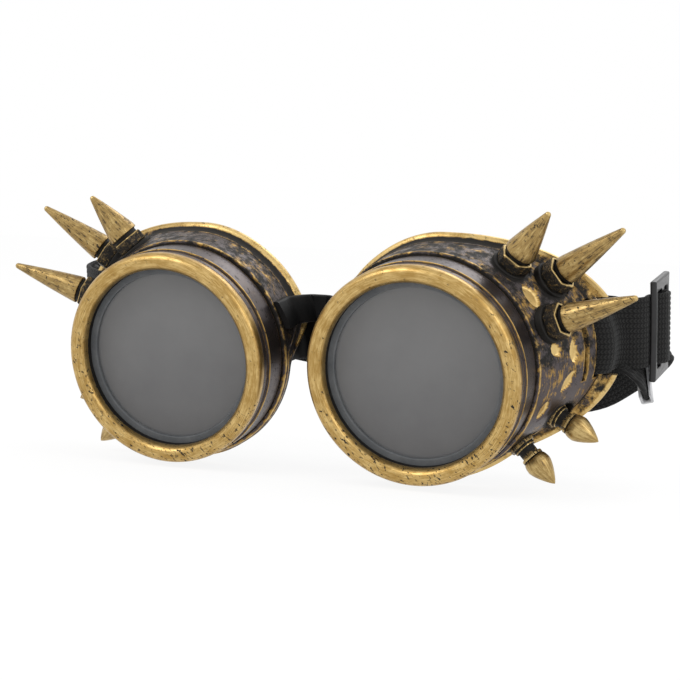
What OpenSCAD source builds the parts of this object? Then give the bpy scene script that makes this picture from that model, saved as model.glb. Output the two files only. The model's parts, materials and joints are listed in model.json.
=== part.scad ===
// Goggles with two screw-cap eyecups, ten screw-in spikes, a soft nose strip and an elastic head strap.
// Millimetres. While modelling, X runs to the viewer's right, Y from front to back and Z up, with the
// origin midway between the two lens openings. The last step lays the goggles down on their lower rims.

/* [Pair] */
// Distance between the two lens centres
lens_spacing = 70; // [68:0.5:90]

/* [Lens] */
// Diameter of the lens disc
lens_d = 50; // [44:0.5:54]
// Thickness of the lens disc
lens_t = 2; // [1:0.1:3]
// Width of the grey gasket lip that shows in front of the lens
gasket_lip = 2.7; // [1.5:0.1:5]
// Thickness of the gasket lip
gasket_t = 1.2; // [0.6:0.1:2]

/* [Screw cap] */
// Radius of the opening in the cap
opening_r = 24; // [20:0.25:24.5]
// Radius of the round gold bead at the front of the cap
bead_r = 2.3; // [1.5:0.1:3]
// Wall of the cap over the thread
cap_wall = 2.25; // [1.5:0.05:4]
// Depth of the dark groove round the cap
groove_depth = 0.9; // [0.2:0.1:1.2]
// Length of the cap skirt behind its front lip
cap_skirt = 9.8; // [8:0.1:14]
// Thickness of the cap front lip behind the bead
cap_lip = 2.2; // [1.5:0.1:3]
// Depth of one turn of the cap thread
thread_pitch = 2.5; // [1:0.1:4]

/* [Eyecup] */
// Wall of the eyecup
cup_wall = 2.2; // [1.6:0.1:3]
// How far the shoulder stands out past the cap
shoulder_step = 1; // [0.5:0.1:2]
// Depth of the eyecup at the top, from the lens opening to the rim
rim_depth = 26.5; // [22:0.5:34]
// Extra depth of the rim at the temple
temple_rise = 12.5; // [10:0.5:16]
// How far the rim is cut back beside the nose
nose_relief = 11.5; // [0:0.5:12]
// Half width of the flared wall at the temple
flare_a = 40; // [38:0.5:44]
// Half height of the flared wall at the temple
flare_b = 28; // [27:0.5:32]
// Height of the flare above the lens centre
flare_rise = 2.5; // [0:0.5:4]
// How far the rim flange stands out at the top
flange_out = 2; // [0.5:0.1:4]
// How far the rim flange stands out at the temple
flange_temple = 5; // [3:0.5:8]
// Length of the flange flare, from the crease to the rim
flange_len = 5; // [3:0.5:7]

/* [Strap lug] */
// Height of the strap slots
slot_h = 20.6; // [20:0.2:24]
// Width of each strap slot
slot_w = 2.6; // [2.3:0.1:4]
// Width of the bar between the two slots
bar_w = 3; // [2:0.1:4]
// Height of the strap centre above the lens centre
strap_rise = 4.9; // [2:0.1:6]

/* [Elastic strap] */
// Width of the elastic
strap_w = 19; // [14:0.5:19.4]
// Thickness of the elastic
strap_t = 1.4; // [0.8:0.1:1.6]

/* [Strap slider] */
// Overall height of the slider
slider_h = 27; // [25:0.5:32]
// Thickness of the slider
slider_t = 1.8; // [1.2:0.1:2.4]
// Width of the slider outer bars
slider_bar = 2.3; // [1.5:0.1:3]
// Width of the slider middle bar
slider_mid = 2.6; // [1.5:0.1:3]
// Width of each opening in the slider
slider_gap = 4.4; // [4:0.1:6]

/* [Nose strip] */
// Height of the nose strip
nose_h = 19.2; // [14:0.2:22]
// Thickness of the nose strip
nose_t = 1.6; // [1:0.1:2]
// Height of the strip centre above the lens centre
nose_rise = 4.7; // [2:0.1:6]

/* [Spikes] */
// Circle that the hexagon base of a cone fits in, as a radius
hex_r = 4.8; // [4.5:0.1:5.2]
// Height of the hexagon base of a long cone
hex_h = 3.7; // [2:0.1:4.5]
// Height of the narrow neck under a cone
neck_h = 1.1; // [0.8:0.1:2.5]
// Length of the two long cones
long_cone = 20; // [14:0.5:26]
// Length of the short cone
short_cone = 14; // [8:0.5:20]
// Base radius of the long cones
long_cone_r = 3.8; // [3:0.1:4.3]
// Base radius of the short cone
short_cone_r = 4.2; // [3:0.1:4.3]
// Circle that the hexagon base of a bullet fits in, as a radius
bullet_hex_r = 4; // [3.4:0.1:4.8]
// Length of the bullet
bullet_len = 8.6; // [5:0.2:10]
// Radius of the bullet
bullet_r = 3.45; // [2.9:0.05:4]
// Radius of the screw shank
shank_r = 1.5; // [1:0.1:2]
// Thickness of the nuts inside the cup
nut_t = 2.4; // [1.6:0.1:3]

/* [Hidden] */
$fn = 96;

// Clearances
fit = 0.05;          // screw thread, on the radius
loose = 0.2;         // lens in its gasket, and cap lip over the gasket
lay = 0.3;           // soft piece lying on a hard one
hole_gap = 0.1;      // shank in its hole, on the radius

// Lens stack, from the front: cap lip, gasket lip, lens, end of the barrel
gasket_y = cap_lip + loose;
lens_y = gasket_y + gasket_t;
barrel_y = lens_y + lens_t + loose;
gasket_rim = 1;
gasket_r = lens_d / 2 + loose + gasket_rim;
bore_r = gasket_r + 0.25;
barrel_r = bore_r - fit;
barrel_in = lens_d / 2 - 1.8;
cap_r = bore_r + cap_wall;
cap_end = cap_lip + cap_skirt;

// Eyecup shell
shoulder_y = cap_end + lay;
shoulder_r = cap_r + shoulder_step;
floor_t = 1.7;
floor_y = shoulder_y + floor_t;
floor_r = barrel_r - 1.9;
shell_steps = 72;

function smooth(e0, e1, v) = let (t = max(0, min(1, (v - e0) / (e1 - e0)))) t * t * (3 - 2 * t);
function toward_temple(a) = max(0, cos(a));
function turned(a) = (a % 360 + 360) % 360;
// Share of the nose relief at angle a: full beside the lower nose, fading along the cheek to the temple
function cut_back(a) = let (b = turned(a))
    smooth(163, 188, b) * (1 - pow(max(0, (b - 225) / 135), 2));
// 1 where the flange dies away beside the lower nose, 0 elsewhere
function flangeless(a) = let (b = turned(a)) smooth(163, 188, b) * (1 - smooth(225, 285, b));
function rim_y(a) = max(floor_y + 0.6,
    rim_depth + temple_rise * pow(toward_temple(a), 1.6) - nose_relief * cut_back(a));
function crease_y(a) = max(shoulder_y + 1.2, rim_y(a) - flange_len);
// Distance from the lens axis to an ellipse that is raised by rise, along the ray at angle a
function ray_to_ellipse(a, ea, eb, rise) =
    let (p = pow(cos(a) / ea, 2) + pow(sin(a) / eb, 2),
         q = -2 * rise * sin(a) / (eb * eb),
         s = pow(rise / eb, 2) - 1)
    (-q + sqrt(q * q - 4 * p * s)) / (2 * p);
function wall_r(a) = cos(a) <= 0 ? shoulder_r + 0.2
    : max(shoulder_r + 0.2, ray_to_ellipse(a, flare_a, flare_b, flare_rise));
function flange_r(a) =
    let (round_r = shoulder_r + flange_out * (1 - flangeless(a)),
         flare = cos(a) <= 0 ? 0
             : ray_to_ellipse(a, flare_a + flange_temple, flare_b + flange_out, flare_rise))
    max(round_r, flare, wall_r(a) + 0.1);
// Outside radius of the wall at angle a and depth y
function wall_at(a, y) = shoulder_r + (wall_r(a) - shoulder_r)
    * max(0, min(1, (y - shoulder_y) / (crease_y(a) - shoulder_y)));

// The closed section of the shell at angle a, as [radius, depth] pairs from the front edge outward,
// back over the flange and home along the inside
function shell_section(a) =
    let (cy = crease_y(a), ry = rim_y(a), wr = wall_r(a), fr = flange_r(a),
         half_y = (shoulder_y + cy) / 2,
         bulge = 0.05 * (wr - shoulder_r),
         inner_y = max(floor_y + 0.3, cy))
    [
        [floor_r, shoulder_y],
        [shoulder_r - 0.4, shoulder_y],
        [shoulder_r, shoulder_y + 0.4],
        [(shoulder_r + wr) / 2 + bulge, half_y],
        [wr, cy],
        [wr + 0.22 * (fr - wr), cy + 0.45 * (ry - cy)],
        [wr + 0.55 * (fr - wr), cy + 0.7 * (ry - cy)],
        [fr, ry - 0.25 * (ry - cy)],
        [fr, ry - 0.3],
        [fr - 0.3 * (1 - flangeless(a)) - 0.05, ry],
        [wr - cup_wall + 0.2, ry],
        [wr - cup_wall, inner_y - 0.15],
        [shoulder_r - cup_wall, floor_y],
        [floor_r, floor_y]
    ];
shell_n = 14;

// A point of the right cup in its own frame: x to the temple, y back, z up
function cup_point(a, r, y) = [r * cos(a), y, r * sin(a)];

// Spikes: [angle, depth, radius of the cone base, forward lean] in the cup's frame
short_at = [52.5, 20.4, 36.4, 10];
upper_at = [36.2, 25.9, 40.5, 10];
lower_at = [20.6, 17.4, 37.9, 10];
rear_at = [-25.8, 25.4, 37.9, 10];
front_at = [-43.6, 19.2, 35.7, 10];
cone_stack = hex_h + neck_h;
short_hex = hex_h - 0.6;
short_stack = short_hex + neck_h;
ring_h = 0.9;
collar_h = 2.2;
bullet_hex = 1.4;
bullet_stack = bullet_hex + ring_h + collar_h + ring_h;
rim_recess = 0.6;    // depth of the hollow in the top of a cone's hexagon
pad_out = 2;         // how far the round pad under a hexagon reaches into the wall
pad_in = 3.8;        // thickness of wall and pad together at the screw
nut_r = shank_r * 2.1;
shank_len = pad_in + nut_t + 0.8;

// Strap lug on the temple wall, depths of its two slots and the outer bar
slot_out_y = rim_depth + temple_rise - 6.1;
slot_in_y = slot_out_y - slot_w - bar_w;
lug_bend = 19.6;     // radius that the wall has in height here
lug_x = wall_at(0, slot_out_y);
notch_r = lug_bend + 1.3;
lug_wall = flare_a;

// Strap slider
slider_x = lens_spacing / 2 + flare_a + 11;
slider_y = rim_depth + temple_rise + 4.3;
slider_w = 2 * slider_bar + slider_mid + 2 * slider_gap;
weave = slider_t / 2 + 0.2 + strap_t / 2;
clip_len = 4;
clip_wall = 0.7;

// Laying the goggles down: they rest on the round beads of the caps and on the lower edges of the flanges
bead_c = opening_r + bead_r;
function flange_foot(a) = [rim_y(a) - 0.25 * (rim_y(a) - crease_y(a)), -flange_r(a) * sin(a)];
function lie(a) = let (p = flange_foot(a), d = [p[0], p[1] - bead_c])
    atan2(d[1], d[0]) - asin(bead_r / norm(d));
rest_tilt = max([for (a = [255 : 5 : 310]) lie(a)]);
rest_drop = bead_c * cos(rest_tilt) + bead_r;
rest_back_shift = 30;

module resting() {
    translate([0, -rest_back_shift, rest_drop])
        rotate([rest_tilt, 0, 0]) children();
}

module right_cup_frame() {
    translate([lens_spacing / 2, 0, 0]) children();
}

module left_cup_frame() {
    mirror([1, 0, 0]) right_cup_frame() children();
}

// Turns a shape made along +Z so that it runs back along +Y
module along_depth() {
    rotate([-90, 0, 0]) children();
}

module on_wall(at, stack) {
    translate(cup_point(at[0], at[2], at[1]))
        rotate([at[3], 90 - at[0], 0])
            translate([0, 0, -stack]) children();
}

// Eyecup
module shell() {
    points = [for (i = [0 : shell_steps - 1]) let (a = 360 * i / shell_steps)
        for (p = shell_section(a)) cup_point(a, p[0], p[1])];
    faces = [for (i = [0 : shell_steps - 1]) for (k = [0 : shell_n - 1])
        let (i2 = (i + 1) % shell_steps, k2 = (k + 1) % shell_n,
             a = i * shell_n + k, b = i2 * shell_n + k, c = i2 * shell_n + k2, d = i * shell_n + k2)
        for (f = [[a, b, c], [a, c, d]]) f];
    polyhedron(points = points, faces = faces);
}

module barrel() {
    along_depth() rotate_extrude() polygon([
        [barrel_in, barrel_y],
        [barrel_r - 0.4, barrel_y],
        [barrel_r, barrel_y + 0.4],
        [barrel_r, floor_y + 0.4],
        [barrel_in, floor_y + 0.4]
    ]);
}

module spike_pad(at, stack, r) {
    on_wall(at, stack) {
        translate([0, 0, -pad_out]) cylinder(r = r + 0.3, h = pad_out);
        translate([0, 0, -pad_in]) cylinder(r = nut_r + 0.5, h = pad_in - pad_out / 2);
    }
}

module spike_hole(at, stack, r) {
    on_wall(at, stack) {
        translate([0, 0, -pad_in - 6]) cylinder(r = shank_r + hole_gap, h = pad_in + 8);
        cylinder(r = r + 0.6, h = 8);
        translate([0, 0, -pad_in - 4]) cylinder(r = nut_r + 0.8, h = 4);
    }
}

module each_spike_pad() {
    spike_pad(short_at, short_stack, hex_r);
    spike_pad(upper_at, cone_stack, hex_r);
    spike_pad(lower_at, cone_stack, hex_r);
    spike_pad(rear_at, bullet_stack, bullet_hex_r);
    spike_pad(front_at, bullet_stack, bullet_hex_r);
}

module each_spike_hole() {
    spike_hole(short_at, short_stack, hex_r);
    spike_hole(upper_at, cone_stack, hex_r);
    spike_hole(lower_at, cone_stack, hex_r);
    spike_hole(rear_at, bullet_stack, bullet_hex_r);
    spike_hole(front_at, bullet_stack, bullet_hex_r);
}

module strap_slots() {
    for (y = [slot_in_y, slot_out_y])
        translate([lug_wall - 12, y - slot_w / 2, strap_rise - slot_h / 2])
            cube([24, slot_w, slot_h]);
}

// Takes the flange off the outer bar, which keeps the height bend of the wall
module lug_notch() {
    y0 = slot_out_y + slot_w / 2;
    difference() {
        translate([lug_wall - 8, y0, strap_rise - slot_h / 2]) cube([20, 12, slot_h]);
        translate([lug_wall - lug_bend, y0 - 1, flare_rise]) along_depth() cylinder(r = notch_r, h = 14);
    }
}

// Leaf-shaped hollows sunk in the temple wall: [angle, depth, length, width, turn]
leaves = [
    [34.4, 16.5, 7, 3.6, 70],
    [8.4, 17.4, 6, 3.2, 20],
    [4, 23.1, 6.5, 2.6, 0],
    [-8.8, 21.6, 6, 3.2, -35],
    [-21.5, 18.6, 7.5, 4, -60]
];
leaf_sink = 0.9;

module leaf(l, w) {
    r = (l * l / 4 + w * w / 4) / w;
    intersection() {
        translate([0, r - w / 2]) circle(r = r);
        translate([0, w / 2 - r]) circle(r = r);
    }
}

module leaf_hollows() {
    for (f = leaves)
        translate(cup_point(f[0], wall_at(f[0], f[1]) - leaf_sink, f[1]))
            rotate([12, 90 - f[0], 0]) rotate([0, 0, f[4]])
                linear_extrude(height = 6) leaf(f[2], f[3]);
}

module cup() {
    color("dimgray") difference() {
        union() {
            shell();
            barrel();
            each_spike_pad();
        }
        each_spike_hole();
        strap_slots();
        lug_notch();
        leaf_hollows();
    }
}

// Screw cap: round gold bead, thin band, groove, wide band
module screw_cap() {
    bead_x = opening_r + bead_r;
    band_r = cap_r - 0.5;
    lip_y = 1.7;
    groove_y = 3.8;
    groove_end = 4.4;
    color("darkgoldenrod") along_depth() rotate_extrude() polygon(concat(
        [for (a = [180 : 15 : 360]) [bead_x + bead_r * cos(a), bead_r * sin(a)]],
        [
            [band_r, lip_y],
            [band_r, groove_y],
            [cap_r - groove_depth, groove_y],
            [cap_r - groove_depth, groove_end],
            [cap_r, groove_end + 0.2],
            [cap_r, cap_end - 0.3],
            [cap_r - 0.3, cap_end],
            [bore_r + 0.3, cap_end],
            [bore_r, cap_end - 0.3],
            [bore_r, cap_lip],
            [opening_r, cap_lip]
        ]));
}

module lens() {
    color("lightsteelblue") along_depth()
        translate([0, 0, lens_y]) cylinder(d = lens_d, h = lens_t);
}

module lens_gasket() {
    color("silver") along_depth() rotate_extrude() polygon([
        [lens_d / 2 - gasket_lip, gasket_y],
        [gasket_r, gasket_y],
        [gasket_r, lens_y + lens_t],
        [gasket_r - gasket_rim, lens_y + lens_t],
        [gasket_r - gasket_rim, lens_y],
        [lens_d / 2 - gasket_lip, lens_y]
    ]);
}

// Spikes. Each is one turned piece with a hexagon base and a shank, and z = 0 is the underside of the base
module spike_base(r, h) {
    chamfer = 0.5;
    translate([0, 0, -shank_len]) cylinder(r = shank_r, h = shank_len + 0.5);
    intersection() {
        cylinder(r = r, h = h, $fn = 6);
        rotate_extrude($fn = 48) polygon([
            [0, 0],
            [r, 0],
            [r, h - chamfer],
            [r - chamfer, h],
            [0, h]
        ]);
    }
}

module cone_spike(length, base_r, hex_height) {
    tip_r = 0.8;
    neck_r = base_r - 0.7;
    cone_z = hex_height + neck_h;
    color("goldenrod") union() {
        difference() {
            spike_base(hex_r, hex_height);
            translate([0, 0, hex_height - rim_recess]) cylinder(r = hex_r * cos(30) - 0.35, h = 1);
        }
        rotate_extrude($fn = 48) polygon(concat(
            [
                [0, hex_height - rim_recess - 0.5],
                [neck_r, hex_height - rim_recess - 0.5],
                [neck_r, cone_z],
                [base_r - 0.3, cone_z],
                [base_r, cone_z + 0.3],
                [base_r - 0.1, cone_z + 1.2]
            ],
            [for (a = [15 : 25 : 90])
                [tip_r * cos(a), cone_z + length - tip_r + tip_r * sin(a)]]
        ));
    }
}

// A bullet swells from its post in a quarter round, then draws in to a sharp nose
module bullet_spike() {
    post_r = bullet_r - 1.1;
    ring_r = bullet_r - 0.5;
    z1 = bullet_hex + ring_h;
    z2 = z1 + collar_h;
    z3 = z2 + ring_h;
    swell = 0.27 * bullet_len;
    nose = bullet_len - swell;
    color("goldenrod") union() {
        spike_base(bullet_hex_r, bullet_hex);
        rotate_extrude($fn = 48) polygon(concat(
            [
                [0, bullet_hex - 0.5],
                [ring_r, bullet_hex - 0.5],
                [ring_r, z1 - 0.2],
                [ring_r - 0.2, z1],
                [post_r, z1],
                [post_r, z2],
                [ring_r, z2],
                [ring_r, z3 - 0.2],
                [ring_r - 0.3, z3]
            ],
            [for (a = [15 : 15 : 90])
                [ring_r - 0.3 + (bullet_r - ring_r + 0.3) * sin(a), z3 + swell * (1 - cos(a))]],
            [for (t = [0.15 : 0.17 : 1])
                [bullet_r * (1 - pow(t, 1.35)) + 0.25 * t, z3 + swell + nose * t]],
            [[0, z3 + bullet_len]]
        ));
    }
}

module short_spike() { on_wall(short_at, short_stack) cone_spike(short_cone, short_cone_r, short_hex); }
module upper_spike() { on_wall(upper_at, cone_stack) cone_spike(long_cone, long_cone_r, hex_h); }
module lower_spike() { on_wall(lower_at, cone_stack) cone_spike(long_cone, long_cone_r, hex_h); }
module rear_bullet() { on_wall(rear_at, bullet_stack) bullet_spike(); }
module front_bullet() { on_wall(front_at, bullet_stack) bullet_spike(); }

module nut() {
    translate([0, 0, -pad_in - nut_t]) difference() {
        cylinder(r = nut_r, h = nut_t, $fn = 6);
        translate([0, 0, -1]) cylinder(r = shank_r + hole_gap, h = nut_t + 2);
    }
}

module spike_nuts() {
    color("dimgray") {
        on_wall(short_at, short_stack) nut();
        on_wall(upper_at, cone_stack) nut();
        on_wall(lower_at, cone_stack) nut();
        on_wall(rear_at, bullet_stack) nut();
        on_wall(front_at, bullet_stack) nut();
    }
}

// Ribbons. A route is a list of [x, y, z, bend, roll]: the centre of the band, how far it takes up the
// curve of the wall behind it (a signed share), and its turn about its own length in degrees.
ribbon_cells = 4;
function unit(v) = v / norm(v);
function xyz(p) = [p[0], p[1], p[2]];
function before(route, i) = unit(xyz(route[i]) - xyz(route[max(0, i - 1)]));
function after(route, i) = unit(xyz(route[min(len(route) - 1, i + 1)]) - xyz(route[i]));
function heading(route, i) = i == 0 ? after(route, i)
    : i == len(route) - 1 ? before(route, i)
    : unit(before(route, i) + after(route, i));
function upright(t, roll) =
    let (w = unit([0, 0, 1] - t[2] * t), n = cross(t, w)) w * cos(roll) + n * sin(roll);
function bend_off(z, share, r, z0) =
    share == 0 ? 0 : share * (r - sqrt(r * r - pow(min(r * 0.95, abs(z - z0)), 2)));

function ribbon_ring(route, i, w, t, r, z0, rake) =
    let (p = route[i], along = heading(route, i), up = upright(along, p[4]), out = cross(along, up),
         corner = (i == 0 || i == len(route) - 1) ? 1 : max(0.75, along * after(route, i)))
    [for (side = [1, -1]) for (k = [0 : ribbon_cells])
        let (v = side * (k / ribbon_cells - 0.5),
             q = xyz(p) + up * (w * v) + out * (side * t / 2 / corner))
        [q[0] + bend_off(q[2], p[3], r, z0), q[1] - rake * (q[2] - p[2]), q[2]]];

module ribbon(route, w, t, r, z0, rake = 0) {
    m = 2 * (ribbon_cells + 1);
    last = (len(route) - 1) * m;
    points = [for (i = [0 : len(route) - 1]) for (q = ribbon_ring(route, i, w, t, r, z0, rake)) q];
    sides = [for (i = [0 : len(route) - 2]) for (k = [0 : m - 1])
        let (k2 = (k + 1) % m, a = i * m + k, b = i * m + k2, c = a + m, d = b + m)
        for (f = [[a, b, d], [a, d, c]]) f];
    ends = [for (k = [0 : ribbon_cells - 1])
        let (a = k, b = k + 1, c = m - 2 - k, d = m - 1 - k)
        for (f = [[a, d, b], [b, d, c], [last + a, last + b, last + d], [last + b, last + c, last + d]]) f];
    polyhedron(points = points, faces = concat(sides, ends));
}

// Head strap. Depths behind the cups are chosen by hand as the strap lies in the picture
strap_over_x = lug_wall - lug_bend + notch_r + lay + 0.3 + strap_t / 2;
strap_in_x = lug_x - cup_wall - lay - 0.5 - strap_t / 2;
strap_back_y = rim_y(0) + lay + strap_t / 2;
layer = strap_t + 0.5;

// From outside the cup, over the outer bar, in through the outer slot and back behind the bar
lug_turn = [
    [strap_over_x + 2.2, strap_back_y + 0.6, 0.5],
    [strap_over_x + 0.6, strap_back_y - 0.6, 0.85],
    [strap_over_x, strap_back_y - 2.5, 1],
    [strap_over_x, slot_out_y + 2.7, 1],
    [strap_over_x - 0.2, slot_out_y + 1.5, 1],
    [strap_over_x - 1.2, slot_out_y + 0.5, 1],
    [strap_over_x - 2.6, slot_out_y, 1],
    [strap_in_x + 1, slot_out_y, 1],
    [strap_in_x + 0.1, slot_out_y + 0.6, 1],
    [strap_in_x - 0.2, slot_out_y + 1.9, 1],
    [strap_in_x, strap_back_y - 3, 1],
    [strap_in_x + 0.3, strap_back_y - 0.8, 1],
    [strap_in_x + 1.5, strap_back_y + 0.9, 1],
    [strap_in_x + 3.2, strap_back_y + layer - 0.1, 0.8],
    [strap_in_x + 5.2, strap_back_y + layer + 0.5, 0.4]
];
// The sewn end, which lies along the inside of the strap
sewn_end = [
    [strap_in_x + 7.6, strap_back_y + 3.7, 0.2],
    [strap_in_x + 10.4, strap_back_y + 5.3, 0],
    [strap_in_x + 12.6, strap_back_y + 8, 0]
];
function at_lug(side, points) = [for (p = points)
    [side * (lens_spacing / 2 + p[0]), p[1], strap_rise, -side * p[2], 0]];

// The free tail, which droops inside the loop and ends in the clip
tail_x = lens_spacing / 2 + strap_in_x;
tail_end = [tail_x + 11.2, slider_y + 8.2, strap_rise - 12.4];
tail_route = [
    [tail_x + 7.6, strap_back_y + layer + 1.2, strap_rise - 1, -0.1, 4],
    [tail_x + 9.6, strap_back_y + layer + 2.8, strap_rise - 3, 0, 9],
    [tail_x + 10.6, strap_back_y + layer + 5, strap_rise - 6, 0, 14],
    [tail_end[0] - 0.25, tail_end[1] - 4, tail_end[2] + 3.88, 0, 18],
    [tail_end[0] - 0.16, tail_end[1] - 2.59, tail_end[2] + 2.51, 0, 18],
    [tail_end[0], tail_end[1], tail_end[2], 0, 18]
];

// Through the slider: under the front bar, over the middle bar, under the rear bar
slider_mid_y = slider_y + slider_w / 2;
function slider_route() = [for (p = [
        [-weave - 2.6, -slider_w / 2 - 2.1],
        [-weave - 0.7, -slider_w / 2 - 0.9],
        [-weave, -slider_w / 2 + 0.6],
        [-weave, -slider_mid / 2 - slider_gap + 0.5],
        [weave, -slider_mid / 2 - 0.4],
        [weave + 0.3, 0],
        [weave, slider_mid / 2 + 0.4],
        [-weave - 0.1, slider_mid / 2 + slider_gap - 0.5],
        [-weave - 0.2, slider_w / 2 - 0.6]
    ]) [slider_x + p[0], slider_mid_y + p[1], strap_rise, 0, 0]];

// Round the back of the loop. The ends keep to the slider and to the left cup, the middle to the rims
slider_end_y = slider_y + slider_w;
function beside_slider(p) = [slider_x + p[0], slider_end_y + p[1], strap_rise + p[2], 0, 0];
function behind_rims(p) = [slider_x * p[0], strap_back_y + p[1], strap_rise + p[2], 0, 0];
function beside_left_cup(p) = [-slider_x + p[0], strap_back_y + p[1], strap_rise + p[2], 0, 0];
back_route = concat(
    [for (p = [
        [-2, 2.2, -0.3],
        [-4, 4.7, -1.3],
        [-8, 5.7, -3.5],
        [-13, 4.2, -6.9],
        [-19, 0.7, -10.5]
    ]) beside_slider(p)],
    [for (p = [
        [0.686, 16.5, -13.3],
        [0.57, 14.5, -14.7],
        [0.43, 13.5, -14.5],
        [0.28, 13, -13.1],
        [0.116, 13, -11.1],
        [-0.07, 13, -9.1],
        [-0.256, 13.5, -7.1],
        [-0.442, 14.5, -5.1],
        [-0.628, 16.5, -3.1]
    ]) behind_rims(p)],
    [for (p = [
        [20, 19, -1.7],
        [10, 21, -0.7],
        [4, 20.5, -0.2],
        [0, 17.5, 0],
        [-1, 13, 0],
        [0.2, 8, 0],
        [3.4, 4, 0]
    ]) beside_left_cup(p)]
);

function reversed(list) = [for (i = [len(list) - 1 : -1 : 0]) list[i]];

module head_strap() {
    route = concat(reversed(tail_route), reversed(at_lug(1, lug_turn)), slider_route(), back_route,
        at_lug(-1, concat(lug_turn, sewn_end)));
    color("black") ribbon(route, strap_w, strap_t, lug_bend, flare_rise);
}

module strap_end_clip() {
    i = len(tail_route) - 1;
    t = heading(tail_route, i);
    w = upright(t, -tail_route[i][4]);
    n = cross(t, w);
    c = tail_end + t * (clip_wall + lay);
    color("lightgray") multmatrix([
        [t[0], w[0], n[0], c[0]],
        [t[1], w[1], n[1], c[1]],
        [t[2], w[2], n[2], c[2]],
        [0, 0, 0, 1]
    ]) difference() {
        translate([-clip_len, -strap_w / 2 - 0.4, -strap_t / 2 - lay - clip_wall])
            cube([clip_len, strap_w + 0.8, strap_t + 2 * (lay + clip_wall)]);
        translate([-clip_len - 1, -strap_w / 2 - 1, -strap_t / 2 - lay])
            cube([clip_len + 1 - clip_wall, strap_w + 2, strap_t + 2 * lay]);
    }
}

module strap_slider() {
    waist = 0.8;
    end_bar = (slider_h - strap_w - 1.6) / 2;
    color([0.1, 0.1, 0.1])
        translate([slider_x + slider_t / 2, slider_mid_y, strap_rise])
            rotate([0, -90, 0])
                linear_extrude(height = slider_t) difference() {
                    square([slider_h, slider_w], center = true);
                    for (s = [-1, 1])
                        translate([0, s * (slider_mid + slider_gap) / 2])
                            square([slider_h - 2 * end_bar, slider_gap], center = true);
                    for (s = [-1, 1])
                        translate([0, s * (slider_w / 2 + slider_h * 2 - waist)])
                            circle(r = slider_h * 2);
                }
}

// Nose strip. Its upper half lies on the outside of each cup, its lower half tucks in behind the rim
nose_split = nose_rise + 2.3;
nose_rake = 0.149;
gap_half = lens_spacing / 2 - shoulder_r;
upper_h = nose_rise + nose_h / 2 - nose_split + 0.1;
upper_z = nose_split + upper_h / 2 - 0.1;
lower_h = nose_split + 0.1 - nose_rise + nose_h / 2;
lower_z = nose_split + 0.1 - lower_h / 2;

function mirrored(list) = concat(
    [for (i = [len(list) - 1 : -1 : 1]) [-list[i][0], list[i][1], list[i][2], -list[i][3], 0]], list);

nose_off = lay + nose_t / 2;
upper_route = mirrored([for (p = [
        [0, rim_depth - 1.8, 0],
        [gap_half - 3.9, rim_depth - 1.9, 0.3],
        [gap_half - 2.6 - nose_off, rim_depth - 2.8, 0.8],
        [gap_half - 1.9 - nose_off, rim_depth - 4.4, 1],
        [gap_half - 0.1 - nose_off, crease_y(160) - 1.6, 1],
        [gap_half - nose_off, shoulder_y + 3.4, 1],
        [gap_half - nose_off, shoulder_y + 0.6, 1]
    ]) [p[0], p[1], upper_z, p[2], 0]]);
lower_route = mirrored([for (p = [
        [0, rim_depth - 0.4, 0],
        [gap_half - 3.6, rim_depth, 0],
        [gap_half - 1.4, rim_depth + 1.3, 0.3],
        [gap_half + 1.2, rim_depth + 2, 0.6],
        [gap_half + 3.3, rim_depth + 1, 1],
        [gap_half + 4.2, rim_depth - 1.4, 1],
        [gap_half + 4.4, rim_depth - 5, 1],
        [gap_half + 4.5, floor_y + 3.6, 1]
    ]) [p[0], p[1], lower_z, p[2], 0]]);

module nose_strip() {
    color("black") union() {
        ribbon(upper_route, upper_h, nose_t, shoulder_r, 0, nose_rake);
        ribbon(lower_route, lower_h, nose_t, shoulder_r, 0, nose_rake);
    }
}

resting() right_cup_frame() cup();  // cup_right
resting() left_cup_frame() cup();  // cup_left
resting() right_cup_frame() screw_cap();  // screw_cap_right
resting() left_cup_frame() screw_cap();  // screw_cap_left
resting() right_cup_frame() lens();  // lens_right
resting() left_cup_frame() lens();  // lens_left
resting() right_cup_frame() lens_gasket();  // lens_gasket_right
resting() left_cup_frame() lens_gasket();  // lens_gasket_left
resting() right_cup_frame() short_spike();  // spike_short_right
resting() right_cup_frame() upper_spike();  // spike_upper_right
resting() right_cup_frame() lower_spike();  // spike_lower_right
resting() right_cup_frame() rear_bullet();  // bullet_rear_right
resting() right_cup_frame() front_bullet();  // bullet_front_right
resting() left_cup_frame() short_spike();  // spike_short_left
resting() left_cup_frame() upper_spike();  // spike_upper_left
resting() left_cup_frame() lower_spike();  // spike_lower_left
resting() left_cup_frame() rear_bullet();  // bullet_rear_left
resting() left_cup_frame() front_bullet();  // bullet_front_left
resting() right_cup_frame() spike_nuts();  // spike_nuts_right
resting() left_cup_frame() spike_nuts();  // spike_nuts_left
resting() nose_strip();
resting() head_strap();
resting() strap_slider();
resting() strap_end_clip();
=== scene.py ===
"""Goggles with two screw-cap eyecups, ten screw-in spikes, a soft nose strip and a head strap.

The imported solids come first. Each piece but the nuts is then a finer skin over its own solid, at
the same place and size. Shapes are worked out in millimetres in the goggles' own frame (x to the
viewer's right, y back, z up, midway between the lens openings) and laid on the table last.
"""

from __future__ import annotations

import json
import logging
import math
from collections.abc import Iterator
from contextlib import contextmanager
from dataclasses import dataclass, field, replace
from enum import Enum
from functools import reduce
from itertools import product

import bmesh
import bpy
import numpy as np
from mathutils import Matrix, Vector

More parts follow.
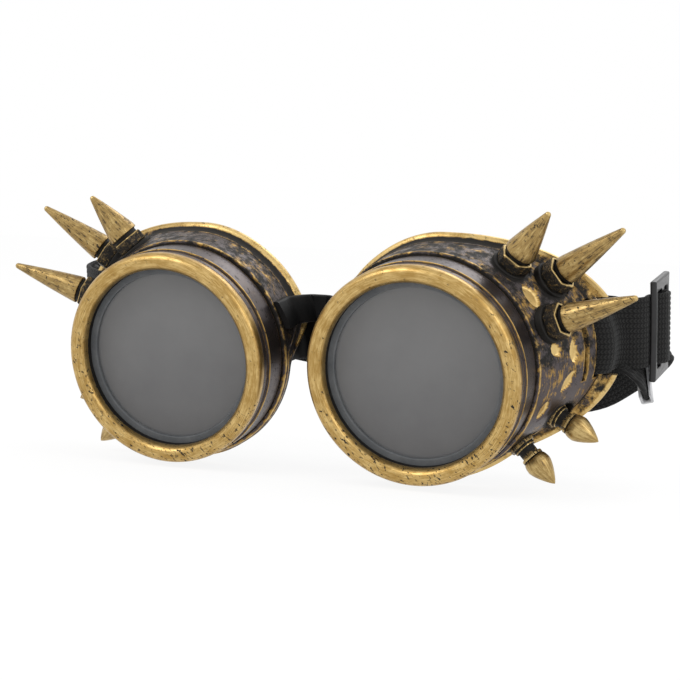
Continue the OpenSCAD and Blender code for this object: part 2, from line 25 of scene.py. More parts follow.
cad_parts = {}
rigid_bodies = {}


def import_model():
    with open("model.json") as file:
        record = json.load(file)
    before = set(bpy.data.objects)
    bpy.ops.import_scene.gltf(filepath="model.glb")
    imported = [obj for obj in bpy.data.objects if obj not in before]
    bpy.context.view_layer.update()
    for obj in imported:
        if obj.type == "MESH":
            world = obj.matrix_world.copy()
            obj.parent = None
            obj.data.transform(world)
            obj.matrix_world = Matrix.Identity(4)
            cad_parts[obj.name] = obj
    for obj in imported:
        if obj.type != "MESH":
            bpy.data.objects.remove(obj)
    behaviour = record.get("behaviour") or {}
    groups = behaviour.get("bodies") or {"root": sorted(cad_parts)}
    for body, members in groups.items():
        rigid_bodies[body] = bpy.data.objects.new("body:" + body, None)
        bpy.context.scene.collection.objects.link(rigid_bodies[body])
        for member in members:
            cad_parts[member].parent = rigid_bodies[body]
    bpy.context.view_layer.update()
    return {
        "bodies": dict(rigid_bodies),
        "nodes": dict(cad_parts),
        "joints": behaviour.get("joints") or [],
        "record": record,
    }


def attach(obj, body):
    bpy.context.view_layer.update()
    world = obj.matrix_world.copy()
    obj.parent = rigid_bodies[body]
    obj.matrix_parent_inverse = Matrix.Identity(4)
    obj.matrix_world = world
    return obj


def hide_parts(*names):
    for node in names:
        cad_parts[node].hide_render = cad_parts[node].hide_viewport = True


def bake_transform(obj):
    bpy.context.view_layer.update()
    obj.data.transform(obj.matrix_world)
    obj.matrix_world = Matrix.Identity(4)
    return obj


Array = np.ndarray
Object = bpy.types.Object
Mesh = bpy.types.Mesh
Material = bpy.types.Material
Socket = bpy.types.NodeSocket
Point = tuple[float, float, float]
Screen = tuple[int, int, int]

MM = 0.001  # a millimetre in metres
WELD = 2e-6  # metres within which two points of a mesh become one
LENS_SPACING = 70.0  # between the two lens axes
SCREW_PITCH = 2.5  # one turn of the thread between cap and barrel
LAY = 0.3  # from a soft piece to the hard one that it lies on
UP = np.array((0.0, 0.0, 1.0))
WHITE = (1.0, 1.0, 1.0, 1.0)
LOG = logging.getLogger("goggles")


class Round:
    """Points round a turned piece."""

    CAP = 288
    BARREL = 192
    LENS = 144
    CONE = 72
    BULLET = 64
    SEAT = 48
    HOLE = 32


class Crisp:
    """Angles in degrees past which an edge stays sharp."""

    CAP = 32.0
    CUP = 34.0
    PLAIN = 38.0
    SMALL = 40.0
    ROUNDED = 50.0
    CLOTH = 60.0


class Wear:
    """How far gold is rubbed through, and how much black is left, on the plain turned places."""

    BEAD = (0.84, 0.14)
    BAND = (0.16, 0.24)
    BARREL = (0.15, 0.75)
    PAD = (0.2, 0.85)
    SHANK = (0.5, 0.2)
    RECESS = (0.4, 1.2)
    NECK = (0.0, 1.2)
    CONE = (0.68, 0.22)
    POINT = (1.0, 0.0)
    BULLET_HEX = (0.45, 0.5)
    RINGS = (0.6, 0.4)
    BULLET = (0.82, 0.12)


# Placing


def swing(x: Array, y: Array, angle: Array | float) -> tuple[Array, Array]:
    """Turns the pair (x, y) from x towards y by an angle in radians."""
    c, s = np.cos(angle), np.sin(angle)
    return x * c - y * s, x * s + y * c


@dataclass(frozen=True)
class TableRest:
    """How the goggles lie on the table, tipped back onto the lower edges of their rims."""

    tilt: float = math.radians(10.0148)
    drop: float = 28.1993
    back: float = 30.0

    def turn(self, points: Array, sign: int = 1) -> Array:
        """Turns directions from the goggles' own frame to the table's, or back with -1 as sign."""
        x, y, z = np.atleast_2d(points).T
        return np.column_stack((x, *swing(y, z, sign * self.tilt)))

    def place(self, points: Array) -> Array:
        """Moves points from the goggles' own frame, in millimetres, to the table, in metres."""
        return (self.turn(points) + (0.0, -self.back, self.drop)) * MM

    def unplace(self, points: Array) -> Array:
        """Moves points on the table, in metres, to the goggles' own frame, in millimetres."""
        return self.turn(points / MM - (0.0, -self.back, self.drop), -1)


class Side(Enum):
    """Which of the two cups a piece belongs to, seen from in front."""

    RIGHT = 1
    LEFT = -1

    @property
    def word(self) -> str:
        """The side's name as the nodes and bodies write it."""
        return self.name.lower()


REST = TableRest()


# Surfaces


@dataclass
class Skin:
    """A closed surface in millimetres, with what its finish reads at each point.

    grain is a coordinate that runs slowly along the brush marks, rub is how far the bright metal
    is rubbed through, and the black layer is how much black is left in the hollows, together with
    painted shade under the cap's bead and in the flange's hollow.
    """

    points: Array
    faces: Array
    grain: Array
    rub: Array
    soot: Array

    @classmethod
    def plain(cls, points: Array, faces: Array, grain: Array | None = None) -> Skin:
        """A skin without gold or black, and without grain unless that is given."""
        none = np.zeros(len(points))
        return cls(points, faces, np.zeros_like(points) if grain is None else grain, none, none)

    def moved(self, points: Array) -> Skin:
        """The same skin with its points somewhere else."""
        return replace(self, points=points)

    def beside(self, side: Side) -> Skin:
        """Moves a skin from the right cup's own frame to that side of the goggles."""
        points = self.points + (LENS_SPACING / 2, 0.0, 0.0)
        if side is Side.RIGHT:
            return self.moved(points)
        return replace(self, points=points * (-1.0, 1.0, 1.0), faces=self.faces[:, ::-1])


def joined(*skins: Skin) -> Skin:
    """Several skins as one, without welding them."""
    starts = np.cumsum([0] + [len(s.points) for s in skins[:-1]])
    faces = np.concatenate([s.faces + k for s, k in zip(skins, starts)])
    points, grain, rub, soot = (
        np.concatenate([getattr(s, name) for s in skins])
        for name in ("points", "grain", "rub", "soot")
    )
    return Skin(points, faces, grain, rub, soot)


def highest(*values: Array) -> Array:
    """The greatest of several values, point by point."""
    return reduce(np.maximum, values)


def ramp(low: float, high: float, value: Array) -> Array:
    """Smooth step from 0 at low to 1 at high."""
    t = np.clip((np.asarray(value, float) - low) / (high - low), 0.0, 1.0)
    return t * t * (3.0 - 2.0 * t)


def near(value: Array, centre: float, width: float) -> Array:
    """A bump of height 1 at centre that falls to nothing at width to either side."""
    return 1.0 - ramp(0.0, width, np.abs(np.asarray(value, float) - centre))


def net(rows: int, columns: int, round_rows: bool, round_columns: bool) -> Array:
    """The four-sided faces of a grid of points.

    Args:
        rows: Number of rows of points.
        columns: Number of points in a row.
        round_rows: Whether the last row joins the first.
        round_columns: Whether the last column joins the first.

    Returns:
        One line of four point numbers for each face.
    """
    i, j = np.meshgrid(
        np.arange(rows if round_rows else rows - 1),
        np.arange(columns if round_columns else columns - 1),
        indexing="ij",
    )
    i, j = i.ravel(), j.ravel()
    i2, j2 = (i + 1) % rows, (j + 1) % columns
    return np.column_stack(
        (i * columns + j, i * columns + j2, i2 * columns + j2, i2 * columns + j)
    )


def run_length(line: Array) -> Array:
    """Distance along a line of points to each of them."""
    return np.concatenate(([0.0], np.cumsum(np.linalg.norm(np.diff(line, axis=0), axis=1))))


def unit(vectors: Array) -> Array:
    """The same directions with a length of 1."""
    return vectors / np.linalg.norm(vectors, axis=-1, keepdims=True)


def parabola(steps: int, whole: bool = True) -> Array:
    """Shares of start, middle and end in a parabola's points, without its end if not whole."""
    t = np.linspace(0.0, 1.0, steps, endpoint=whole)
    return np.array(((1 - t) ** 2, 2 * t * (1 - t), t * t))


def soften(corners: Array, cut: Array | float, steps: int = 5, closed: bool = True) -> Array:
    """Rounds the corners of a profile with parabolas.

    Args:
        corners: The profile's corners, one (radius, height) pair a line.
        cut: How far from each corner its rounding starts, one number or one for each corner.
        steps: Points in each rounding.
        closed: Whether the profile is a loop. The ends of an open one stay sharp.

    Returns:
        The rounded profile.
    """
    corners = np.asarray(corners, float)
    cut = np.broadcast_to(np.asarray(cut, float), (len(corners),)).copy()
    if not closed:
        cut[[0, -1]] = 0.0
    to_last = np.roll(corners, 1, 0) - corners
    to_next = np.roll(corners, -1, 0) - corners
    last_len = np.linalg.norm(to_last, axis=1)
    next_len = np.linalg.norm(to_next, axis=1)
    reach = np.minimum(cut, 0.49 * np.minimum(last_len, next_len))[:, None]
    start = corners + to_last / np.maximum(last_len, 1e-9)[:, None] * reach
    end = corners + to_next / np.maximum(next_len, 1e-9)[:, None] * reach
    shares = parabola(steps)[:, None, :, None]
    curve = sum(share * p[:, None] for share, p in zip(shares, (start, corners, end)))
    return curve.reshape(-1, corners.shape[1])


def densify(profile: Array, spacing: float, closed: bool = True) -> Array:
    """Adds points to a profile wherever two of its own are further apart than spacing."""
    loop = np.vstack((profile, profile[:1])) if closed else np.asarray(profile, float)
    length = run_length(loop)
    keep = np.concatenate(([True], np.diff(length) > 1e-6))
    loop, length = loop[keep], length[keep]
    at = np.unique(np.round(np.concatenate((length, np.arange(0.0, length[-1], spacing))), 4))
    out = np.column_stack([np.interp(at, length, loop[:, k]) for k in range(loop.shape[1])])
    return out[:-1] if closed else out


def hexagon(angle: Array, sharpness: float = 44.0) -> Array:
    """Radius of a hexagon with soft corners over its own half width, at each angle.

    The widest reach over the six flats is taken as a power mean, so the corners come out round.
    """
    flats = np.radians(30.0 + 60.0 * np.arange(6))
    reach = np.maximum(0.0, np.cos(angle[..., None] - flats))
    return 1.0 / (reach**sharpness).sum(-1) ** (1.0 / sharpness)


# How fast the grain runs round the axis and along the profile of a turned piece
GRAIN_LENGTHWISE = (5.0, 0.22)
GRAIN_ROUND = (0.16, 2.4)


def lathe(
    profile: Array,
    columns: int,
    closed: bool = False,
    six_sided: Array | float = 0.0,
    rub: Array | float = 0.5,
    soot: Array | float = 0.0,
    lengthwise: bool = False,
) -> Skin:
    """Turns a profile about the z axis.

    The point at angle a and profile step k is (r cos a, r sin a, z), where r and z are the
    profile's and r is stretched towards a hexagon where six_sided is 1.

    Args:
        profile: One (radius, height) pair a line, up the outside, or a loop that runs that way.
        columns: Points round the axis.
        closed: Whether the profile is a loop.
        six_sided: How far each profile point is a hexagon.
        rub: Bright metal at each profile point.
        soot: Black at each profile point.
        lengthwise: Whether brush marks run along the profile, not round the axis.

    Returns:
        The turned skin, along +z.
    """
    profile = np.asarray(profile, float)
    wide = (len(profile), columns)
    angle = np.linspace(0.0, 2 * math.pi, columns, endpoint=False)[None, :]
    share, rub, soot = (
        np.broadcast_to(np.reshape(value, (-1, 1)), wide) for value in (six_sided, rub, soot)
    )
    radius = profile[:, :1] * (1.0 - share + share * hexagon(angle))
    round_axis = np.stack(np.broadcast_arrays(np.cos(angle), np.sin(angle), radius)[:2])
    x, y = radius * round_axis
    z = np.broadcast_to(profile[:, 1:], wide)
    along = np.broadcast_to(run_length(profile)[:, None], wide)
    about, lengthwise_rate = GRAIN_LENGTHWISE if lengthwise else GRAIN_ROUND
    grain_x, grain_y = about * (round_axis if lengthwise else np.stack((x, y)))
    return Skin(
        np.stack((x, y, z), -1).reshape(-1, 3),
        net(*wide, closed, True),
        np.stack((grain_x, grain_y, lengthwise_rate * along), -1).reshape(-1, 3),
        rub.ravel(),
        soot.ravel(),
    )


def facing_front(skin: Skin) -> Skin:
    """Lays a turned skin's axis along the depth of the cup, so that z becomes y."""
    x, y, z = skin.points.T
    return skin.moved(np.column_stack((x, z, -y)))


def helix(skin: Skin, height: float, reach: tuple[float, float], about: str) -> Skin:
    """Raises or sinks the screw thread on a turned skin whose axis is the depth.

    Radius changes by height times a rounded saw of (depth / pitch - angle / turn).

    Args:
        skin: The skin in the cup's frame.
        height: How far the thread changes the radius, inwards where negative.
        reach: First and last depth of the thread.
        about: "outside" or "inside", the face of the wall that carries it.

    Returns:
        The threaded skin.
    """
    x, y, z = skin.points.T
    radius = np.hypot(x, z)
    phase = y / SCREW_PITCH - np.arctan2(z, x) / (2 * math.pi)
    wave = 0.5 + 0.5 * np.cos(2 * math.pi * phase)
    begun = ramp(reach[0] - 0.01, reach[0] + 0.4, y)
    share = begun * (1 - ramp(reach[1] - 0.4, reach[1] + 0.01, y))
    middle = (radius.max() + radius.min()) / 2
    on_face = radius > middle if about == "outside" else radius < middle
    grown = radius + height * ramp(0.25, 0.75, wave) * share * on_face
    scale = grown / np.maximum(radius, 1e-9)
    return skin.moved(np.column_stack((x * scale, y, z * scale)))


# Meshes


@contextmanager
def edited(mesh: Mesh) -> Iterator[bmesh.types.BMesh]:
    """Opens a mesh for edits and writes them back."""
    work = bmesh.new()
    work.from_mesh(mesh)
    yield work
    work.to_mesh(mesh)
    work.free()


def corners_of(mesh: Mesh) -> Array:
    """Where a mesh's vertices are, one a line."""
    flat = np.empty(3 * len(mesh.vertices), np.float32)
    mesh.vertices.foreach_get("co", flat)
    return flat.reshape(-1, 3)


def put_layers(mesh: Mesh, grain: Array, rub: Array, soot: Array) -> None:
    """Gives a mesh the layers that its finish reads."""
    for name, values in (("grain", grain), ("rub", rub), ("soot", soot)):
        kind, slot = ("FLOAT_VECTOR", "vector") if values.ndim == 2 else ("FLOAT", "value")
        layer = mesh.attributes.get(name) or mesh.attributes.new(name, kind, "POINT")
        layer.data.foreach_set(slot, values.astype(np.float32).ravel())


def shade(mesh: Mesh, sharp: float) -> None:
    """Shades a mesh smooth, apart from edges sharper than that angle in degrees."""
    mesh.shade_smooth()
    mesh.set_sharp_from_angle(angle=math.radians(sharp))


def put(name: str, data: bpy.types.ID) -> Object:
    """Puts an object with that mesh, curve, light or camera in the scene."""
    piece = bpy.data.objects.new(name, data)
    bpy.context.scene.collection.objects.link(piece)
    return piece


def stand(skin: Skin, name: str, sharp: float = Crisp.PLAIN, fill_ends: bool = False) -> Object:
    """Makes a skin an object on the table, welded and shaded, with its finish's layers.

    Args:
        skin: The surface, in the goggles' frame.
        name: The piece's name.
        sharp: Angle in degrees past which an edge stays sharp.
        fill_ends: Whether open ends are closed with flat faces.

    Returns:
        The object, at the origin, with its place in its mesh.
    """
    mesh = bpy.data.meshes.new(name)
    mesh.from_pydata(REST.place(skin.points), [], skin.faces.tolist())
    put_layers(mesh, skin.grain, skin.rub, skin.soot)
    with edited(mesh) as work:
        bmesh.ops.remove_doubles(work, verts=work.verts, dist=WELD)
        if fill_ends:
            bmesh.ops.holes_fill(work, edges=[e for e in work.edges if e.is_boundary], sides=0)
    shade(mesh, sharp)
    return put(name, mesh)


# Finishes


def linear(red: int, green: int, blue: int) -> tuple[float, float, float, float]:
    """A screen colour from 0 to 255 as the linear colour that a shader takes."""
    part = np.array((red, green, blue), float) / 255.0
    part = np.where(part <= 0.04045, part / 12.92, ((part + 0.055) / 1.055) ** 2.4)
    return (float(part[0]), float(part[1]), float(part[2]), 1.0)


class Nodes:
    """Writes the nodes of one tree."""

    def __init__(self, tree: bpy.types.NodeTree) -> None:
        """Starts with an empty tree."""
        self.tree = tree
        tree.nodes.clear()

    def node(self, kind: str, sockets: dict | None = None, **settings: object) -> bpy.types.Node:
        """Adds a node, then fills its sockets with numbers or with other nodes' outputs.

        Args:
            kind: The node's type, without the words ShaderNode.
            sockets: What goes into each socket, by name or number.
            **settings: The node's own options.

        Returns:
            The node.
        """
        node = self.tree.nodes.new("ShaderNode" + kind)
        for key, value in settings.items():
            setattr(node, key, value)
        for key, value in (sockets or {}).items():
            self.feed(node.inputs[key], value)
        return node

    def feed(self, socket: Socket, value: object) -> None:
        """Links a socket to another one, or gives it a number or colour."""
        if isinstance(value, bpy.types.NodeSocket):
            self.tree.links.new(value, socket)
        else:
            socket.default_value = value

    def math(self, what: str, *values: object) -> Socket:
        """The result of a sum, product or other step on numbers."""
        return self.node("Math", dict(enumerate(values)), operation=what).outputs[0]

    def scaled(self, value: object, times: object, plus: object) -> Socket:
        """A number times a second one, plus a third."""
        return self.math("MULTIPLY_ADD", value, times, plus)

    def around(self, noise: object, spread: float, middle: float = 0.0) -> Socket:
        """A noise from 0 to 1, spread that far to either side of a middle."""
        return self.scaled(noise, 2 * spread, middle - spread)

    def level(self, share: object, a: float, b: float) -> Socket:
        """A number between two others."""
        return self.node("MapRange", {"Value": share, "To Min": a, "To Max": b}).outputs[0]

    def seen(self) -> Socket:
        """1 for a ray that comes from the camera, from glossy metal or through a lens."""
        ray = self.node("LightPath").outputs
        glossy = self.math("MAXIMUM", ray["Is Camera Ray"], ray["Is Glossy Ray"])
        return self.math("MAXIMUM", glossy, ray["Is Transmission Ray"])


class Recipe(Nodes):
    """Writes the nodes of one material."""

    def __init__(self, name: str) -> None:
        """Starts a material with only a shader and an output."""
        self.material = bpy.data.materials.new(name)
        self.material.use_nodes = True
        super().__init__(self.material.node_tree)
        self.shader = self.node("BsdfPrincipled")
        self.output = self.node("OutputMaterial", {0: self.shader.outputs[0]})

    def set(self, **sockets: object) -> None:
        """Fills the shader's sockets, whose names are written with low lines for spaces."""
        for key, value in sockets.items():
            self.feed(self.shader.inputs[key.replace("_", " ")], value)

    def layer(self, name: str, vector: bool = False) -> Socket:
        """A layer of the mesh, as a number or as a vector."""
        node = self.node("Attribute", attribute_name=name)
        return node.outputs["Vector" if vector else "Fac"]

    def mapped(self, vector: Socket, kind: str = "POINT", **sockets: Point) -> Socket:
        """A place that is scaled, turned and moved, or the way back with TEXTURE as kind."""
        return self.node("Mapping", {"Vector": vector, **sockets}, vector_type=kind).outputs[0]

    def place(self) -> Socket:
        """The place on the piece, in millimetres."""
        return self.mapped(self.node("TexCoord").outputs["Object"], Scale=(1 / MM,) * 3)

    def noise(self, where: object, scale: float, detail: float = 3.0, rough: float = 0.6) -> Socket:
        """Cloudy noise from about 0.2 to 0.8 round a half."""
        sockets = {"Vector": where, "Scale": scale, "Detail": detail, "Roughness": rough}
        return self.node("TexNoise", sockets).outputs[0]

    def step(self, value: object, low: float, high: float) -> Socket:
        """Smooth step of a number from 0 at low to 1 at high."""
        sockets = {"Value": value, "From Min": low, "From Max": high}
        return self.node("MapRange", sockets, interpolation_type="SMOOTHSTEP").outputs[0]

    def between(self, share: object, a: object, b: object) -> Socket:
        """A colour between two others, each a screen colour or the result of other nodes."""
        first, second = (linear(*c) if isinstance(c, tuple) else c for c in (a, b))
        return self.node("Mix", {0: share, 6: first, 7: second}, data_type="RGBA").outputs[2]

    def bump(self, height: object, depth_mm: float, strength: float) -> None:
        """Turns a height from 0 to 1 into a relief that many millimetres deep."""
        sockets = {"Height": height, "Distance": depth_mm * MM, "Strength": strength}
        self.set(Normal=self.node("Bump", sockets).outputs[0])


@dataclass(frozen=True)
class AgedBrass:
    """Gunmetal plating with gold rubbed over it and black left in the hollows."""

    name: str
    blotch: float
    streak: float
    patch_mm: float
    specks: float
    gloss: float
    gold: Screen = (168, 134, 74)
    bright: Screen = (216, 186, 124)
    grey: Screen = (78, 75, 81)
    black: Screen = (20, 17, 13)

    def material(self) -> Material:
        """Writes gold where rub and noise are high, and black where the black layer, painted shade
        among it, and noise are.
        """
        r = Recipe(self.name)
        where, grain, soot = r.place(), r.layer("grain", vector=True), r.layer("soot")
        clouds = r.noise(where, 1.0 / self.patch_mm, 4.0)
        dirt = r.noise(r.mapped(where, Location=(31.0, 17.0, 5.0)), 1.6 / self.patch_mm, 5.0, 0.62)
        hair = r.noise(grain, 1.3)
        fine = r.noise(grain, 4.2, 2.0)
        shift = r.around(clouds, self.blotch)
        brush = r.around(hair, self.streak)
        rubbed = r.math("ADD", r.math("ADD", r.layer("rub"), shift), brush)
        gold = r.step(rubbed, 0.38, 0.60)
        polish = r.step(r.scaled(fine, 0.7, rubbed), 1.0, 1.5)
        grime = r.around(dirt, 0.75 * self.blotch)
        scratch = r.around(fine, 0.45 * self.streak)
        # The black layer brings painted shade as well as the black left in the hollows.
        sooty_and_shaded = r.step(r.math("ADD", r.math("ADD", soot, grime), scratch), 0.42, 0.66)
        oblique = r.mapped(where, "TEXTURE", Rotation=(0.0, 0.8, 0.0), Scale=(2.4, 1.0, 0.8))
        nick = r.step(r.noise(oblique, 1.5, rough=0.55), 0.58, 0.62)
        nicks = r.math("MULTIPLY", nick, r.step(r.math("ADD", dirt, soot), 0.66, 0.84))
        black = r.math("MAXIMUM", sooty_and_shaded, r.math("MULTIPLY", nicks, self.specks))
        metal = r.between(polish, self.gold, self.bright)
        tint = r.between(r.math("MULTIPLY", clouds, 0.14), self.grey, self.gold)
        colour = r.between(black, r.between(gold, tint, metal), self.black)
        r.set(Base_Color=colour, Metallic=r.level(black, 0.92, 0.35), IOR=1.5)
        r.set(Roughness=r.scaled(black, 0.3, r.around(fine, 0.11, self.gloss)))
        relief = r.math("SUBTRACT", gold, r.math("MULTIPLY", black, 0.8))
        r.bump(r.scaled(fine, 0.35, relief), 0.06, 0.75)
        return r.material


@dataclass(frozen=True)
class BlackElastic:
    """Knitted black elastic, whose ribs carry small slanted stitches."""

    name: str = "black_elastic_knit"
    rib_mm: float = 1.36
    stitch_mm: float = 0.85

    def material(self) -> Material:
        """Writes stitches: stripes along the strap that lean to and fro, rib by rib."""
        r = Recipe(self.name)
        cloth = r.node("SeparateXYZ", {"Vector": r.layer("grain", vector=True)})
        along, across = cloth.outputs[0], cloth.outputs[1]
        lean = r.math("PINGPONG", r.math("MULTIPLY", across, 1.0 / self.rib_mm), 0.5)
        row = r.scaled(lean, 1.3, r.math("MULTIPLY", along, 1.0 / self.stitch_mm))
        stitch = r.math("SINE", r.math("MULTIPLY", row, 2 * math.pi))
        fuzz = r.noise(r.place(), 2.6)
        loop = r.math("MULTIPLY", r.scaled(stitch, 0.5, 0.5), r.step(lean, 0.0, 0.16))
        share = r.scaled(fuzz, 0.25, r.math("MULTIPLY", loop, 0.85))
        r.set(Base_Color=r.between(share, (4, 4, 5), (38, 38, 37)), Roughness=0.85)
        r.set(Specular_IOR_Level=0.3, Sheen_Weight=0.08, Sheen_Roughness=0.5)
        r.bump(r.scaled(fuzz, 0.3, loop), 0.16, 0.8)
        return r.material


@dataclass(frozen=True)
class MouldedPlastic:
    """Moulded plastic with a faint orange peel and soft clouds of handling wear."""

    name: str
    dark: Screen
    light: Screen
    gloss: float
    coat: float = 0.0
    peel_mm: float = 0.02
    shine: float = 0.5

    def material(self) -> Material:
        """Writes the clouds, the peel and the gloss."""
        r = Recipe(self.name)
        where = r.place()
        clouds = r.noise(where, 0.16, 4.0)
        peel = r.noise(where, 2.2, 2.0, 0.5)
        wisp = r.step(r.noise(where, 0.9, 4.0, 0.65), 0.45, 0.75)
        share = r.scaled(wisp, 0.35, r.step(clouds, 0.3, 0.8))
        r.set(Base_Color=r.between(share, self.dark, self.light))
        r.set(Roughness=r.around(peel, 0.1, self.gloss))
        r.set(Coat_Weight=self.coat, Coat_Roughness=0.12, IOR=1.48, Specular_IOR_Level=self.shine)
        r.bump(r.scaled(wisp, 0.4, peel), self.peel_mm, 0.6)
        return r.material


@dataclass(frozen=True)
class SmokedLens:
    """Flat grey lens with faint hazy wipe marks, and painted light that makes it a little lighter
    at the top.
    """

    name: str = "smoked_lens_grey"
    low: Screen = (103, 103, 104)
    high: Screen = (121, 121, 121)

    def material(self) -> Material:
        """Writes the haze and the painted light that lightens the lens from bottom to top."""
        r = Recipe(self.name)
        where = r.place()
        rise = r.node("SeparateXYZ", {"Vector": where}).outputs[2]
        haze = r.noise(where, 0.09, 5.0)
        # Painted light: the lens colour is lighter towards the top.
        share = r.scaled(haze, 0.7, r.level(r.step(rise, 4.0, 56.0), -0.3, 0.55))
        r.set(Base_Color=r.between(share, self.low, self.high))
        r.set(Roughness=r.level(haze, 0.32, 0.5), IOR=1.45, Specular_IOR_Level=0.2)
        r.bump(r.noise(where, 0.7, 2.0, 0.5), 0.004, 0.4)
        return r.material


@dataclass(frozen=True)
class Steel:
    """Dark plated steel of the nuts."""

    name: str = "nut_steel"
    dark: Screen = (70, 66, 62)
    light: Screen = (150, 146, 140)

    def material(self) -> Material:
        """Writes the plating's clouds and its fine file marks."""
        r = Recipe(self.name)
        where = r.place()
        clouds = r.noise(where, 0.8, 4.0)
        marks = r.noise(r.mapped(where, Scale=(0.4, 6.0, 6.0)), 1.0, 2.0, 0.5)
        r.set(Base_Color=r.between(clouds, self.dark, self.light), Metallic=1.0)
        r.set(Roughness=r.level(marks, 0.28, 0.5))
        r.bump(marks, 0.02, 0.5)
        return r.material


def made(recipe: AgedBrass | BlackElastic | MouldedPlastic | SmokedLens | Steel) -> Material:
    """A field that holds the recipe's material, written when the finishes are."""
    return field(default_factory=recipe.material)


@dataclass
class Finishes:
    """Every finish of the goggles, made once."""

    bezel: Material = made(AgedBrass(
        "aged_brass_cap", blotch=0.34, streak=0.42, patch_mm=3.4, specks=1.0, gloss=0.34))
    wall: Material = made(AgedBrass(
        "aged_brass_cup", blotch=0.85, streak=0.55, patch_mm=4.5, specks=0.6, gloss=0.36))
    spike: Material = made(AgedBrass(
        "aged_brass_spike", gold=(158, 131, 82), bright=(200, 174, 118), grey=(84, 72, 54),
        blotch=0.46, streak=0.8, patch_mm=2.2, specks=1.0, gloss=0.34))
    elastic: Material = made(BlackElastic())
    strip: Material = made(MouldedPlastic(
        "soft_black_strip", (9, 9, 10), (20, 19, 19), gloss=0.55, peel_mm=0.03, shine=0.25))
    slider: Material = made(MouldedPlastic(
        "gloss_black_slider", (10, 10, 11), (30, 30, 32), gloss=0.34, coat=0.1))
    gasket: Material = made(MouldedPlastic(
        "gasket_grey_rubber", (84, 87, 90), (102, 104, 106), gloss=0.55, peel_mm=0.03, shine=0.3))
    clip: Material = made(MouldedPlastic(
        "pale_clip_metal", (176, 177, 180), (206, 207, 209), gloss=0.34, peel_mm=0.015))
    lens: Material = made(SmokedLens())
    steel: Material = made(Steel())


@dataclass(frozen=True)
class Bend:
    """How a soft piece passes from one body to another, between two points of the goggles."""

    first: str
    last: str
    start: Point
    end: Point

    def join(self, piece: Object) -> None:
        """Bakes the piece's place into its mesh; the two points are worked out but do not bend it.
        """
        start, end = REST.place(np.array((self.start, self.end)))
        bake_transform(piece)


def coat(piece: Object, finish: Material) -> None:
    """Gives a piece one finish."""
    piece.data.materials.clear()
    piece.data.materials.append(finish)


def dress(piece: Object, finish: Material, slot: str, body: str | Bend, *nodes: str) -> None:
    """Gives a piece its finish and the body it rides on, and hides the solids it stands for.

    Args:
        piece: The piece.
        finish: Its material.
        slot: The record's slot that the finish belongs to. Not used.
        body: The body that carries the piece, or a Bend between two, which only bakes the piece in
            place.
        *nodes: The solids that it replaces.
    """
    coat(piece, finish)
    if isinstance(body, Bend):
        body.join(piece)
    else:
        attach(piece, body)
    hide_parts(*nodes)
    LOG.info("%s rides on %s, %d faces", piece.name, body, len(piece.data.polygons))


# Screw cap, lens and gasket


